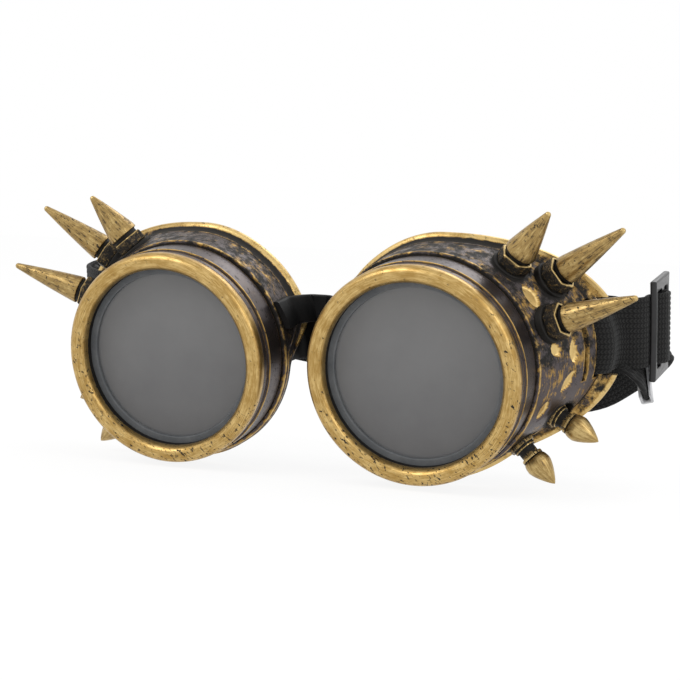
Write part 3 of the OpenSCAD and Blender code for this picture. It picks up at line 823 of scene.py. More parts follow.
@dataclass
class ScrewCap:
    """The cap that screws over the cup's barrel, with its lens and gasket."""

    opening: float = 24.0
    bead: float = 2.3
    outer: float = 28.7
    bore: float = 26.45
    lip: float = 2.2
    end: float = 12.0
    groove: tuple[float, float] = (3.8, 4.4)
    groove_depth: float = 0.9
    lens_radius: float = 25.0
    lens_front: float = 3.6
    lens_back: float = 5.6
    gasket_front: float = 2.4
    gasket_inner: float = 22.3
    gasket_outer: float = 26.2
    skirt: float = 1.0

    def cap_skin(self) -> Skin:
        """The cap as a turned loop: round bead, thin band, groove, wide band, threaded bore."""
        outer, bore, end, opening = self.outer, self.bore, self.end, self.opening
        groove, groove_end = self.groove
        band, sunk = outer - 0.5, outer - self.groove_depth
        turn = np.radians(np.linspace(180.0, 360.0, 41))
        bead = self.bead * np.column_stack((1.0 + np.cos(turn), np.sin(turn))) + (opening, 0.0)
        rest = soften(
            [
                (opening + 2 * self.bead, 0.2), (band + 0.25, 1.45), (band - 0.4, 1.75),
                (band, 2.0), (band, groove), (sunk, groove + 0.05), (sunk, groove_end),
                (outer, groove_end + 0.2), (outer, end - 0.3), (outer - 0.3, end),
                (bore + 0.3, end), (bore, end - 0.3), (bore, self.lip), (opening, self.lip),
            ],
            [0, 0.3, 0.15, 0.15, 0.12, 0.12, 0.12, 0.15, 0.3, 0.3, 0.2, 0.2, 0, 0.15],
            closed=False,
        )
        profile = densify(np.vstack((bead, rest)), 0.3)
        r, y = profile.T
        outside, past_bore, on_bead = r > outer - 1.2, r > bore, y < 1.5
        inside = (r < outer - 1.4) & (y > 0.6)
        gold = highest(
            np.where(on_bead, Wear.BEAD[0], Wear.BAND[0]),
            0.95 * near(y, groove_end + 0.3, 0.3) * outside,
            0.8 * near(y, end - 0.25, 0.5) * outside,
            0.72 * near(y, groove - 0.1, 0.35) * outside,
        )
        soot = highest(
            np.where(inside, 0.9, np.where(on_bead, Wear.BEAD[1], Wear.BAND[1])),
            1.1 * near(y, 1.78, 0.22) * past_bore,
            1.1 * near(y, 4.05, 0.42) * past_bore,
        )
        skin = facing_front(lathe(profile, Round.CAP, True, rub=gold, soot=soot))
        x, y, z = skin.points.T
        radius = np.hypot(x, z)
        # Painted shade: the bead gets more black on its underside and on its outboard side.
        low = ramp(0.1, 0.75, -z / radius) + 0.6 * ramp(0.75, 1.0, x / radius)
        skin.soot += 0.17 * low * (y < 1.4)
        return helix(skin, -0.5, (self.lip + 4.4, end - 0.6), "inside")

    def lens_skin(self) -> Skin:
        """The lens as a disc with a softened edge, closed at its poles."""
        front, back, radius = self.lens_front, self.lens_back, self.lens_radius
        corners = [(0.0, front), (radius, front), (radius, back), (0.0, back)]
        profile = soften(corners, 0.25, closed=False)
        return facing_front(lathe(densify(profile, 2.0, False), Round.LENS))

    def gasket_skin(self) -> Skin:
        """The gasket as a turned loop: a lip before the lens and a skirt round it."""
        front, back, lens = self.gasket_front, self.lens_back, self.lens_front
        inner, outer = self.gasket_inner, self.gasket_outer
        skirt = outer - self.skirt
        profile = soften(
            [
                (inner, front), (outer, front), (outer, back),
                (skirt, back), (skirt, lens), (inner, lens),
            ],
            [0.35, 0.1, 0.2, 0.2, 0.05, 0.2],
        )
        return facing_front(lathe(densify(profile, 0.6), Round.LENS, True))

    def build(self, side: Side, finishes: Finishes) -> None:
        """Makes and dresses the three pieces of one side."""
        word = side.word
        cap = stand(self.cap_skin().beside(side), f"cap_skin_{word}", Crisp.CAP)
        dress(cap, finishes.bezel, "aged_brass", f"cap_{word}", f"screw_cap_{word}")
        lens = stand(self.lens_skin().beside(side), f"lens_skin_{word}", Crisp.ROUNDED)
        dress(lens, finishes.lens, "grey_lens", f"lens_pack_{word}", f"lens_{word}")
        gasket = stand(self.gasket_skin().beside(side), f"gasket_skin_{word}")
        dress(gasket, finishes.gasket, "grey_gasket", f"lens_pack_{word}", f"lens_gasket_{word}")


# Spikes


class Tip(Enum):
    """The two kinds of spike."""

    CONE = "cone"
    BULLET = "bullet"


# Height of the neck under a cone, and of the rings and post under a bullet
CONE_NECK = 1.1
BULLET_POST = 4.0


@dataclass(frozen=True)
class Seat:
    """Where a spike stands on the wall of the right cup: degrees and millimetres."""

    name: str
    angle: float
    depth: float
    radius: float
    tip: Tip
    length: float
    thick: float
    hexagon: float
    hex_high: float
    lean: float = 10.0

    @property
    def flat(self) -> float:
        """Half the width of the hexagon across its flats."""
        return self.hexagon * math.cos(math.radians(30))

    @property
    def stack(self) -> float:
        """Height of everything between the wall and the foot of the cone or bullet."""
        return self.hex_high + (CONE_NECK if self.tip is Tip.CONE else BULLET_POST)

    def foot(self, share: float = 1.0) -> Array:
        """Where the spike stands in the cup's frame, or that share of the way out to it."""
        a = math.radians(self.angle)
        out = self.radius * share
        return np.array((out * math.cos(a), self.depth, out * math.sin(a)))

    def raise_up(self, points: Array) -> Array:
        """Moves points from the spike's own frame, z out of the wall, to the cup's frame."""
        x, y, z = points.T
        y, z = swing(y, z - self.stack, math.radians(self.lean))
        x, z = swing(x, z, math.radians(self.angle - 90))
        return np.column_stack((x, y, z)) + self.foot()


SEATS = (
    Seat("spike_short", 52.5, 20.4, 36.4, Tip.CONE, 14.0, 4.2, 4.8, 3.1),
    Seat("spike_upper", 36.2, 25.9, 40.5, Tip.CONE, 20.0, 3.8, 4.8, 3.7),
    Seat("spike_lower", 20.6, 17.4, 37.9, Tip.CONE, 20.0, 3.8, 4.8, 3.7),
    Seat("bullet_rear", -25.8, 25.4, 37.9, Tip.BULLET, 8.6, 3.45, 4.0, 1.4),
    Seat("bullet_front", -43.6, 19.2, 35.7, Tip.BULLET, 8.6, 3.45, 4.0, 1.4),
)


def stacked(parts: list[tuple]) -> tuple[Array, Array, Array, Array]:
    """Puts profiles end to end.

    Args:
        parts: For each one its points, its gold, its black and its share of hexagon, where each of
            the last three is one number or one for each point.

    Returns:
        The whole profile's points, gold, black and share of hexagon.
    """
    rest = (
        np.concatenate([np.broadcast_to(part[k], len(part[0])) for part in parts])
        for k in (1, 2, 3)
    )
    return (np.vstack([part[0] for part in parts]), *rest)


@dataclass
class Spikes:
    """The five screw-in spikes of each cup."""

    shank: float = 1.5
    shank_long: float = 7.0
    thread: float = 0.7

    def shank_profile(self) -> Array:
        """Profile of the threaded shank, from its end up to the wall."""
        height = np.arange(-self.shank_long + 0.4, -0.05, self.thread / 6)
        wave = 0.5 + 0.5 * np.cos(2 * math.pi * height / self.thread)
        radius = self.shank - 0.24 * ramp(0.2, 0.8, wave)
        end = [(0.0, -self.shank_long), (self.shank - 0.45, -self.shank_long)]
        return np.vstack((end, np.column_stack((radius, height)), [(self.shank, 0.0)]))

    def hex_profile(self, seat: Seat, top_inner: float) -> Array:
        """Profile of the hexagon base as half widths, up to the inner edge of its top."""
        flat, top = seat.flat, seat.hex_high
        return soften(
            [
                (flat - 0.25, 0.0), (flat, 0.3), (flat, top - 0.45),
                (flat - 0.22, top), (top_inner, top),
            ],
            [0, 0.2, 0.3, 0.14, 0],
            4,
            False,
        )

    def cone_skin(self, seat: Seat) -> Skin:
        """A cone on a black neck that stands in the hollow top of a tall hexagon."""
        top, thick = seat.hex_high, seat.thick
        foot = top + CONE_NECK
        blunt, rise = 0.8, 1.2
        base = self.hex_profile(seat, seat.flat - 0.62)
        z = base[:, 1]
        flat, sunk, post = seat.flat, top - 0.6, thick - 0.7
        recess = [(flat - 0.7, top - 0.05), (flat - 0.8, sunk), (post, sunk)]
        recess = soften(recess, 0.1, 3, False)
        neck = np.array([(post, top - 0.3), (post - 0.02, foot - 0.25), (post + 0.1, foot)])
        heel = [(thick - 0.5, foot), (thick, foot + 0.05), (thick - 0.1, foot + rise)]
        step = np.linspace(0.0, 1.0, 40)
        side_r = thick - 0.1 + (0.97 * blunt - thick + 0.1) * step + 0.12 * np.sin(math.pi * step)
        side = np.column_stack((side_r, foot + rise + (seat.length - rise - 0.8 * blunt) * step))
        turn = np.radians(np.linspace(15.0, 90.0, 9))
        nose = blunt * np.column_stack((np.cos(turn), np.sin(turn) - 1)) + (0.0, foot + seat.length)
        shank = self.shank_profile()
        profile, gold, black, hexed = stacked([
            (shank, *Wear.SHANK, 0.0),
            (base, np.where(z > top - 0.2, 1.15, 0.4), np.where(z > top - 0.25, 0.0, 0.6), 1.0),
            (recess, *Wear.RECESS, np.linspace(1.0, 0.0, len(recess))),
            (neck, *Wear.NECK, 0.0),
            (soften(heel, 0.3, 5, False), *Wear.CONE, 0.0),
            (side, *Wear.CONE, 0.0),
            (nose, *Wear.POINT, 0.0),
        ])
        skin = lathe(profile, Round.CONE, False, hexed, gold, black, lengthwise=True)
        grain = skin.grain.reshape(len(profile), -1, 3)
        grain[len(shank) : len(shank) + len(base)] *= (0.35, 0.35, 3.0)
        return skin

    def bullet_skin(self, seat: Seat) -> Skin:
        """A plumb-bob nose on a small hexagon, two thin rings and a post."""
        post, ring = seat.thick - 1.1, seat.thick - 0.5
        z0 = seat.hex_high
        z1, z2, z3 = z0 + 0.9, z0 + 3.1, z0 + BULLET_POST
        swell = 0.27 * seat.length
        rings = soften(
            [
                (ring, z0), (ring, z1), (post, z1), (post, z2),
                (ring, z2), (ring, z3), (ring - 0.3, z3),
            ],
            [0.05, 0.22, 0.08, 0.08, 0.22, 0.22, 0],
            5,
            False,
        )
        turn = np.radians(np.linspace(4.0, 90.0, 16))
        belly_r = ring - 0.3 + (seat.thick - ring + 0.3) * np.sin(turn)
        belly_z = z3 + swell * (1 - np.cos(turn))
        t = np.linspace(0.03, 1.0, 26)
        nose_r = seat.thick * (1 - t**1.35) + 0.25 * t * (1 - t**12)
        nose_z = z3 + swell + (seat.length - swell) * t
        parts = [
            (self.shank_profile(), *Wear.SHANK, 0.0),
            (self.hex_profile(seat, ring - 0.05), *Wear.BULLET_HEX, 1.0),
            (rings, *Wear.RINGS, 0.0),
            (np.column_stack((belly_r, belly_z)), *Wear.BULLET, 0.0),
            (np.column_stack((nose_r, nose_z)), *Wear.BULLET, 0.0),
        ]
        profile, gold, black, hexed = stacked(parts)
        part = np.repeat(np.arange(len(parts)), [len(p[0]) for p in parts])
        z, on_rings = profile[:, 1], part == 2
        gold = highest(
            gold,
            1.1 * near(z, z1 - 0.1, 0.3) * on_rings,
            1.1 * near(z, z2 + 0.15, 0.3) * on_rings,
            1.1 * near(z, z3 - 0.1, 0.25) * on_rings,
            near(z, z0 - 0.1, 0.3) * (part == 1),
        )
        black = highest(
            black,
            1.2 * near(z, z1 + 0.15, 0.35) * on_rings,
            1.3 * near(z, z3, 0.45) * (part >= 2) * (profile[:, 0] < ring),
        )
        black = np.where(on_rings & (near(z, z0, 0.4) > 0.3), 1.1, black)
        return lathe(profile, Round.BULLET, False, hexed, gold, black, lengthwise=True)

    def build(self, side: Side, finishes: Finishes) -> None:
        """Makes and dresses the five spikes of one side."""
        for seat in SEATS:
            skin = self.cone_skin(seat) if seat.tip is Tip.CONE else self.bullet_skin(seat)
            skin = skin.moved(seat.raise_up(skin.points)).beside(side)
            piece = stand(skin, f"{seat.name}_skin_{side.word}", Crisp.SMALL)
            dress(piece, finishes.spike, "aged_brass", "frame", f"{seat.name}_{side.word}")


# Eyecup


@dataclass(frozen=True)
class Leaf:
    """A leaf-shaped hollow in the temple wall: degrees round, depth, length, width and turn."""

    angle: float
    depth: float
    long: float
    wide: float
    turn: float


@dataclass
class Eyecup:
    """The cup: a flared, face-fitted shell with a flange, a threaded barrel and spike pads."""

    wall: float = 2.2
    shoulder_y: float = 12.3
    shoulder_r: float = 29.7
    floor_y: float = 14.0
    floor_r: float = 24.5
    barrel_r: float = 26.4
    barrel_in: float = 23.2
    barrel_y: float = 5.8
    rim_depth: float = 26.5
    temple_rise: float = 12.5
    nose_relief: float = 11.5
    flare_a: float = 40.0
    flare_b: float = 28.0
    flare_rise: float = 2.5
    flange_out: float = 2.0
    flange_temple: float = 5.0
    flange_len: float = 5.0
    slots: tuple[tuple[float, float], ...] = ((28.0, 1.6), (32.9, 2.6))
    slot_h: float = 20.6
    strap_rise: float = 4.9
    lug_bend: float = 19.6
    notch_proud: float = 1.3
    leaves: tuple[Leaf, ...] = (
        Leaf(35.5, 17.9, 7.8, 4.1, -3.0),
        Leaf(8.5, 18.0, 4.2, 3.0, 20.0),
        Leaf(5.5, 23.7, 6.6, 3.1, 0.0),
        Leaf(-7.3, 22.4, 7.0, 3.2, -35.0),
        Leaf(-20.8, 16.6, 6.4, 3.4, -12.0),
    )
    leaf_sink: float = 0.9

    def flangeless(self, degrees: Array) -> Array:
        """1 where the flange dies away beside the lower nose, 0 elsewhere."""
        b = np.mod(degrees, 360.0)
        return ramp(163, 188, b) * (1 - ramp(225, 285, b))

    def rim_y(self, degrees: Array) -> Array:
        """Depth of the rim: deeper at the temple, cut back beside the nose and along the cheek."""
        b = np.mod(degrees, 360.0)
        relief = ramp(163, 188, b) * (1 - np.maximum(0, (b - 225) / 135) ** 2)
        rise = self.temple_rise * np.maximum(0, np.cos(np.radians(degrees))) ** 1.6
        return np.maximum(self.floor_y + 0.6, self.rim_depth + rise - self.nose_relief * relief)

    def crease_y(self, degrees: Array) -> Array:
        """Depth of the crease where the flange starts."""
        return np.maximum(self.shoulder_y + 1.2, self.rim_y(degrees) - self.flange_len)

    def ellipse(self, degrees: Array, half_x: float, half_z: float) -> Array:
        """Distance from the lens axis to the raised ellipse, as the root of a quadratic."""
        c, s = np.cos(np.radians(degrees)), np.sin(np.radians(degrees))
        p = (c / half_x) ** 2 + (s / half_z) ** 2
        q = -2 * self.flare_rise * s / half_z**2
        k = (self.flare_rise / half_z) ** 2 - 1
        return (-q + np.sqrt(q * q - 4 * p * k)) / (2 * p)

    def flare(self, degrees: Array, half_x: float, half_z: float, base: Array | float) -> Array:
        """The raised ellipse on the temple side, eased down to base, if larger, past the top."""
        b = np.mod(degrees, 360.0)
        past = (b > 90) & (b < 270)
        share = np.where(past, 1 - ramp(90, 130, b), 1.0)
        far = self.ellipse(np.where(past, 90.0, degrees), half_x, half_z)
        return np.maximum(base, base + (far - base) * share)

    def wall_r(self, degrees: Array) -> Array:
        """Outer radius of the wall at the crease."""
        return self.flare(degrees, self.flare_a, self.flare_b, self.shoulder_r + 0.2)

    def flange_r(self, degrees: Array) -> Array:
        """Outer radius of the flange at the rim."""
        base = self.shoulder_r + self.flange_out * (1 - self.flangeless(degrees))
        half_x, half_z = self.flare_a + self.flange_temple, self.flare_b + self.flange_out
        return highest(self.flare(degrees, half_x, half_z, base), self.wall_r(degrees) + 0.1)

    def outer_r(self, degrees: Array, depth: Array) -> Array:
        """Outer radius of the wall at an angle and a depth."""
        front = self.shoulder_y
        share = np.clip((depth - front) / (self.crease_y(degrees) - front), 0, 1)
        return self.shoulder_r + (self.wall_r(degrees) - self.shoulder_r) * share

    def leaf_depth(self, degrees: Array, depth: Array) -> Array:
        """Depth of the leaf hollows from 0 to 1: the lens between two arcs, with steep banks."""
        deepest = np.zeros(np.broadcast(degrees, depth).shape)
        for leaf in self.leaves:
            radius = self.outer_r(np.array(leaf.angle), np.array(leaf.depth))
            across = -np.radians(np.mod(degrees - leaf.angle + 180.0, 360.0) - 180.0) * radius
            u, v = swing(across, depth - leaf.depth, -math.radians(leaf.turn))
            arc = (leaf.long**2 / 4 + leaf.wide**2 / 4) / leaf.wide
            offset = arc - leaf.wide / 2
            inside = arc - np.maximum(np.hypot(u, v - offset), np.hypot(u, v + offset))
            deepest = np.maximum(deepest, ramp(-0.1, 0.45, inside))
        return deepest

    def shell_skin(self) -> Skin:
        """The shell as a closed loop of sections round the cup.

        At each angle the section runs out along the front face, round the shoulder, back along the
        bowed wall, over the crease, up the hollow flange, round its edge and home along the inside.
        """
        # Degrees round the cup, closer together where the leaves are
        fine = np.arange(-52.0, 66.0, 0.45)
        coarse = np.arange(fine[-1] + 1.0, 308.0 - 0.6, 1.25)
        degrees = np.concatenate((fine, coarse))[None, :]
        wr, fr = self.wall_r(degrees), self.flange_r(degrees)
        cy, ry = self.crease_y(degrees), self.rim_y(degrees)
        sr, sy, floor_y, back = self.shoulder_r, self.shoulder_y, self.floor_y, wr - self.wall
        length = ry - cy
        keep = 1 - self.flangeless(degrees)

        def run(start: tuple, middle: tuple, end: tuple, steps: int) -> tuple[Array, Array]:
            """A parabola from start to end, drawn towards middle."""
            shares = parabola(steps, whole=False)[..., None]
            r, y = (
                sum(s * p[k] for s, p in zip(shares, (start, middle, end))) + 0 * degrees
                for k in (0, 1)
            )
            return r, y

        bowed = ((sr + wr) / 2 + 0.1 * (wr - sr), (sy + 0.45 + cy) / 2)
        stops = [
            ((self.floor_r, sy), None, 4),
            ((sr - 0.45, sy), (sr, sy), 5),
            ((sr, sy + 0.45), bowed, 64),
            ((wr - 0.04, cy - 0.35), (wr + 0.2, cy - 0.1), 5),
            ((wr + 0.06, cy + 0.12), (wr + 0.02 + 0.12 * (fr - wr), cy + 0.62 * length), 12),
            ((fr - 0.175 * keep, ry - 0.3 * length), (fr, ry - 0.25 * length), 4),
            ((fr, ry - 0.18 * length), (fr, ry - 0.05), 4),
            ((fr - 0.3 * keep - 0.05, ry), None, 5),
            ((back + 0.5, ry), (back + 0.2, ry), 3),
            ((back + 0.15, ry - 0.3), None, 4),
            ((back, np.maximum(floor_y + 0.3, cy) - 0.15), None, 18),
            ((sr - self.wall, floor_y), None, 4),
            ((self.floor_r, floor_y), None, 2),
        ]
        runs = []
        for (start, middle, steps), (end, *_) in zip(stops, stops[1:] + stops[:1]):
            if middle is None:
                middle = ((start[0] + end[0]) / 2, (start[1] + end[1]) / 2)
            runs.append(run(start, middle, end, steps))
        radius, depth = (np.concatenate(rows) for rows in zip(*runs))
        row = np.repeat(np.arange(len(stops)), [steps for *_, steps in stops])
        radius -= self.leaf_sink * self.leaf_depth(degrees, depth) * (row == 2)[:, None]
        a = np.radians(degrees)
        points = np.stack((radius * np.cos(a), depth, radius * np.sin(a)), -1).reshape(-1, 3)
        return Skin.plain(points, net(len(radius), degrees.size, True, True)[:, ::-1])

    def barrel_skin(self) -> Skin:
        """The threaded barrel as a turned loop."""
        inner, outer = self.barrel_in, self.barrel_r - 0.1
        front, back = self.barrel_y, self.floor_y + 0.4
        corners = [(inner, front), (outer, front), (outer, back), (inner, back)]
        profile = densify(soften(corners, [0.3, 0.4, 0, 0]), 0.3)
        skin = facing_front(lathe(profile, Round.BARREL, True, 0.0, *Wear.BARREL))
        return helix(skin, -0.62, (self.barrel_y + 0.5, self.floor_y - 2.4), "outside")

    def pad_skin(self, seat: Seat) -> Skin:
        """The round seat under a hexagon, sunk into the wall, with the boss that takes its nut."""
        wide = seat.hexagon + 0.3
        profile = soften(
            [(0.0, -3.8), (3.65, -3.8), (3.65, -1.9), (wide, -1.9), (wide, 0.0), (0.0, 0.0)],
            [0, 0.3, 0.1, 0.2, 0.35, 0],
            closed=False,
        )
        skin = lathe(densify(profile, 0.5, False), Round.BULLET, False, 0.0, *Wear.PAD)
        return skin.moved(seat.raise_up(skin.points))

    def cutters(self) -> list[Skin]:
        """What is cut away: the two strap slots, the flange beside them and the spikes' seats."""
        low, high = (self.strap_rise + sign * self.slot_h / 2 for sign in (-1, 1))
        corner = np.array(list(product((0.0, 1.0), repeat=3)))
        faces = [(0, 1, 3, 2), (4, 6, 7, 5), (0, 4, 5, 1), (2, 3, 7, 6), (0, 2, 6, 4), (1, 5, 7, 3)]
        found = []
        for y, wide in self.slots:
            start = (self.flare_a - 12.0, y - wide / 2, low)
            found.append(Skin.plain(start + corner * (24.0, wide, self.slot_h), np.array(faces)))
        rows, beyond = 21, 62.0
        z = np.linspace(low, high, rows)
        reach = self.lug_bend + self.notch_proud
        bow = np.sqrt(np.maximum(0.0, reach**2 - (z - self.flare_rise) ** 2))
        x = self.flare_a - self.lug_bend + bow
        outer, wide = self.slots[1]
        y0, y1 = outer + wide / 2, outer + 13.0
        points = np.concatenate([
            np.column_stack((np.broadcast_to(far, rows), np.full(rows, y), z))
            for far, y in ((x, y0), (x, y1), (beyond, y1), (beyond, y0))
        ])
        first = rows * np.arange(4)
        ends = np.array((first, first[[0, 3, 2, 1]] + rows - 1))
        found.append(Skin.plain(points, np.concatenate((net(4, rows, True, False), ends))))
        for seat in SEATS:
            room = (seat.hexagon + 0.6, -0.02, 8.0, Round.SEAT)
            for radius, foot, top, columns in (room, (4.0, -7.5, -3.7, Round.HOLE)):
                block = lathe([(0.0, foot), (radius, foot), (radius, top), (0.0, top)], columns)
                found.append(block.moved(seat.raise_up(block.points)))
        return found

    def carve(self, shell: Object, cutters: list[Object]) -> None:
        """Cuts the cutters out of the shell and removes them."""
        for cutter in cutters:
            cut = shell.modifiers.new("cut", "BOOLEAN")
            cut.operation, cut.solver, cut.object = "DIFFERENCE", "EXACT", cutter
        sight = bpy.context.evaluated_depsgraph_get()
        mesh = bpy.data.meshes.new_from_object(shell.evaluated_get(sight))
        shell.modifiers.clear()
        shell.data = mesh
        for cutter in cutters:
            bpy.data.objects.remove(cutter)

    def paint(self, points: Array) -> tuple[Array, Array, Array]:
        """Grain, gold and black of the shell, from where each point lies in the cup's frame.

        Gold gathers on the shoulder, the crease, the flange edge, the leaves and the slot edges;
        black fills the ground round the spikes and the inside, and painted shade darkens the hollow
        of the flange.
        """
        x, y, z = points.T
        degrees, radius = np.degrees(np.arctan2(z, x)), np.hypot(x, z)
        from_crease, from_rim = y - self.crease_y(degrees), y - self.rim_y(degrees)
        flanged = 1 - self.flangeless(degrees)
        low = 1 - ramp(-14.0, 8.0, degrees)
        temple = 1 - ramp(48.0, 74.0, np.abs(degrees))
        leaf = self.leaf_depth(degrees, y) * (from_crease < 0)
        gold = highest(
            0.29 + 0.12 * temple - 0.16 * low * temple,
            1.3 * ramp(0.3, 0.8, leaf),
            near(y, self.shoulder_y + 0.35, 0.6) * (radius > self.shoulder_r - 0.7),
            0.8 * near(from_crease, 0.0, 0.4),
        )
        in_flange = ramp(0.2, 1.4, from_crease)
        gold = gold * (1 - in_flange) + in_flange * (0.26 + 0.34 * temple)
        rim = ramp(-1.5, -0.8, radius - self.flange_r(degrees)) * ramp(-3.2, -2.0, from_rim)
        rim *= 0.2 + 0.8 * flanged
        beyond_end = np.abs(z - self.strap_rise) - self.slot_h / 2
        edge = np.minimum(*(np.maximum(np.abs(y - s) - w / 2, beyond_end) for s, w in self.slots))
        gold = highest(gold, 1.1 * rim, 0.9 * near(edge, 0.1, 0.35) * (x > 30))
        # Painted shade: the hollow of the flange and the groove past the crease are darkened, less
        # towards the temple.
        hollow = ramp(0.3, 0.9, from_crease) * flanged
        black = highest(
            (0.54 - 0.34 * low) * (1 - leaf) + 0.05 * leaf,
            0.8 * near(from_crease, 1.1, 1.0),
            (0.92 - 0.38 * temple) * hollow,
        ) * (1 - 0.75 * rim)
        for seat in SEATS:
            far = np.linalg.norm(points - seat.foot(0.93), axis=1)
            ring = 1 - ramp(seat.hexagon, seat.hexagon + 3.8, far)
            black = np.maximum(black, 0.85 * ring * (1 - leaf))
        inside = (radius < self.outer_r(degrees, y) - 1.4) & (from_rim < -0.35)
        black = np.where(inside, 1.2, np.where(leaf > 0.6, 0.05, black))
        gold = np.where(inside, 0.0, gold)
        in_hollow = (from_crease > 0) & (flanged > 0.5)
        stretch, depthwise = np.where(in_hollow, [[2.6], [0.25]], [[0.3], [2.0]])
        return np.column_stack((x * stretch, y * depthwise, z * stretch)), gold, black

    def build(self, side: Side, finishes: Finishes) -> None:
        """Makes the shell, cuts it, adds barrel and pads, and dresses the cup."""
        word = side.word
        shell = stand(self.shell_skin().beside(side), f"cup_skin_{word}")
        self.carve(shell, [stand(c.beside(side), f"cutter_{word}") for c in self.cutters()])
        own = REST.unplace(corners_of(shell.data)) * (side.value, 1, 1)
        put_layers(shell.data, *self.paint(own - (LENS_SPACING / 2, 0.0, 0.0)))
        extra = joined(self.barrel_skin(), *[self.pad_skin(seat) for seat in SEATS])
        rest = stand(extra.beside(side), f"cup_rest_{word}")
        with edited(shell.data) as work:
            work.from_mesh(rest.data)
        bpy.data.objects.remove(rest)
        shade(shell.data, Crisp.CUP)
        dress(shell, finishes.wall, "aged_brass_dark", "frame", f"cup_{word}")


# Strap, slider, clip and nose strip


def spline(route: Array, spacing: float) -> Array:
    """A smooth line through the route's points, one cubic between each two of them.

    Args:
        route: One point a line, with any further columns carried along.
        spacing: Greatest distance between two points of the line.

    Returns:
        The denser route.
    """
    ends = np.vstack((2 * route[0] - route[1], route, 2 * route[-1] - route[-2]))
    p0, p1, p2, p3 = ends[:-3], ends[1:-2], ends[2:-1], ends[3:]
    gap = np.linalg.norm((p2 - p1)[:, :3], axis=1)
    before = np.maximum(np.linalg.norm((p1 - p0)[:, :3], axis=1), 1e-6)
    after = np.maximum(np.linalg.norm((p3 - p2)[:, :3], axis=1), 1e-6)
    m1 = (p2 - p0) / (before + gap)[:, None] * gap[:, None]
    m2 = (p3 - p1) / (gap + after)[:, None] * gap[:, None]
    count = np.maximum(3, np.ceil(gap / spacing)).astype(int)
    span = np.repeat(np.arange(len(gap)), count)
    t = np.concatenate([np.arange(n) / n for n in count])[:, None]
    h00, h10 = 2 * t**3 - 3 * t**2 + 1, t**3 - 2 * t**2 + t
    h01, h11 = -2 * t**3 + 3 * t**2, t**3 - t**2
    line = h00 * p1[span] + h10 * m1[span] + h01 * p2[span] + h11 * m2[span]
    return np.vstack((line, route[-1:]))


def ribbon(route: Array, section: Array, bow: float, bow_z: float, rake: float = 0.0) -> Skin:
    """Carries a closed section along a route.

    A section point (v, n) goes to p + up v + out n, where up leans by the route's roll, and then
    takes up the given share of the curve of the wall behind it.

    Args:
        route: Lines of x, y, z, share of the wall's curve, and roll in degrees.
        section: Lines of distance across the band and out of it.
        bow: Radius of the wall's curve in height.
        bow_z: Height of the middle of that curve.
        rake: How far the band leans forward with height.

    Returns:
        The band, open at both ends. Its grain is (length along, distance across, out).
    """
    centre = route[:, :3]
    along = unit(np.gradient(centre, axis=0))
    up = unit(UP - along[:, 2:] * along)
    up = swing(up, np.cross(along, up), -np.radians(route[:, 4:]))[0]
    out = np.cross(along, up)
    across, off = section.T[:, None]
    points = centre[:, None] + up[:, None] * across[..., None] + out[:, None] * off[..., None]
    height = points[..., 2] - bow_z
    dip = bow - np.sqrt(bow**2 - np.minimum(0.95 * bow, np.abs(height)) ** 2)
    points[..., 0] += route[:, 3:4] * dip
    points[..., 1] -= rake * (points[..., 2] - centre[:, None, 2])
    grain = np.stack(np.broadcast_arrays(run_length(centre)[:, None], across, off), -1)
    area = np.sum(across * np.roll(off, -1) - np.roll(across, -1) * off)
    faces = net(*points.shape[:2], False, True)[:, :: 1 if area < 0 else -1]
    return Skin.plain(points.reshape(-1, 3), faces, grain.reshape(-1, 3))


def length_of(band: Skin, wide: int, first: int, last: int) -> Skin:
    """The length of a band from one of its rows to another, with wide points in a row."""
    rows = slice(first * wide, (last + 1) * wide)
    faces = band.faces[first * wide : last * wide] - first * wide
    return Skin(band.points[rows], faces, band.grain[rows], band.rub[rows], band.soot[rows])


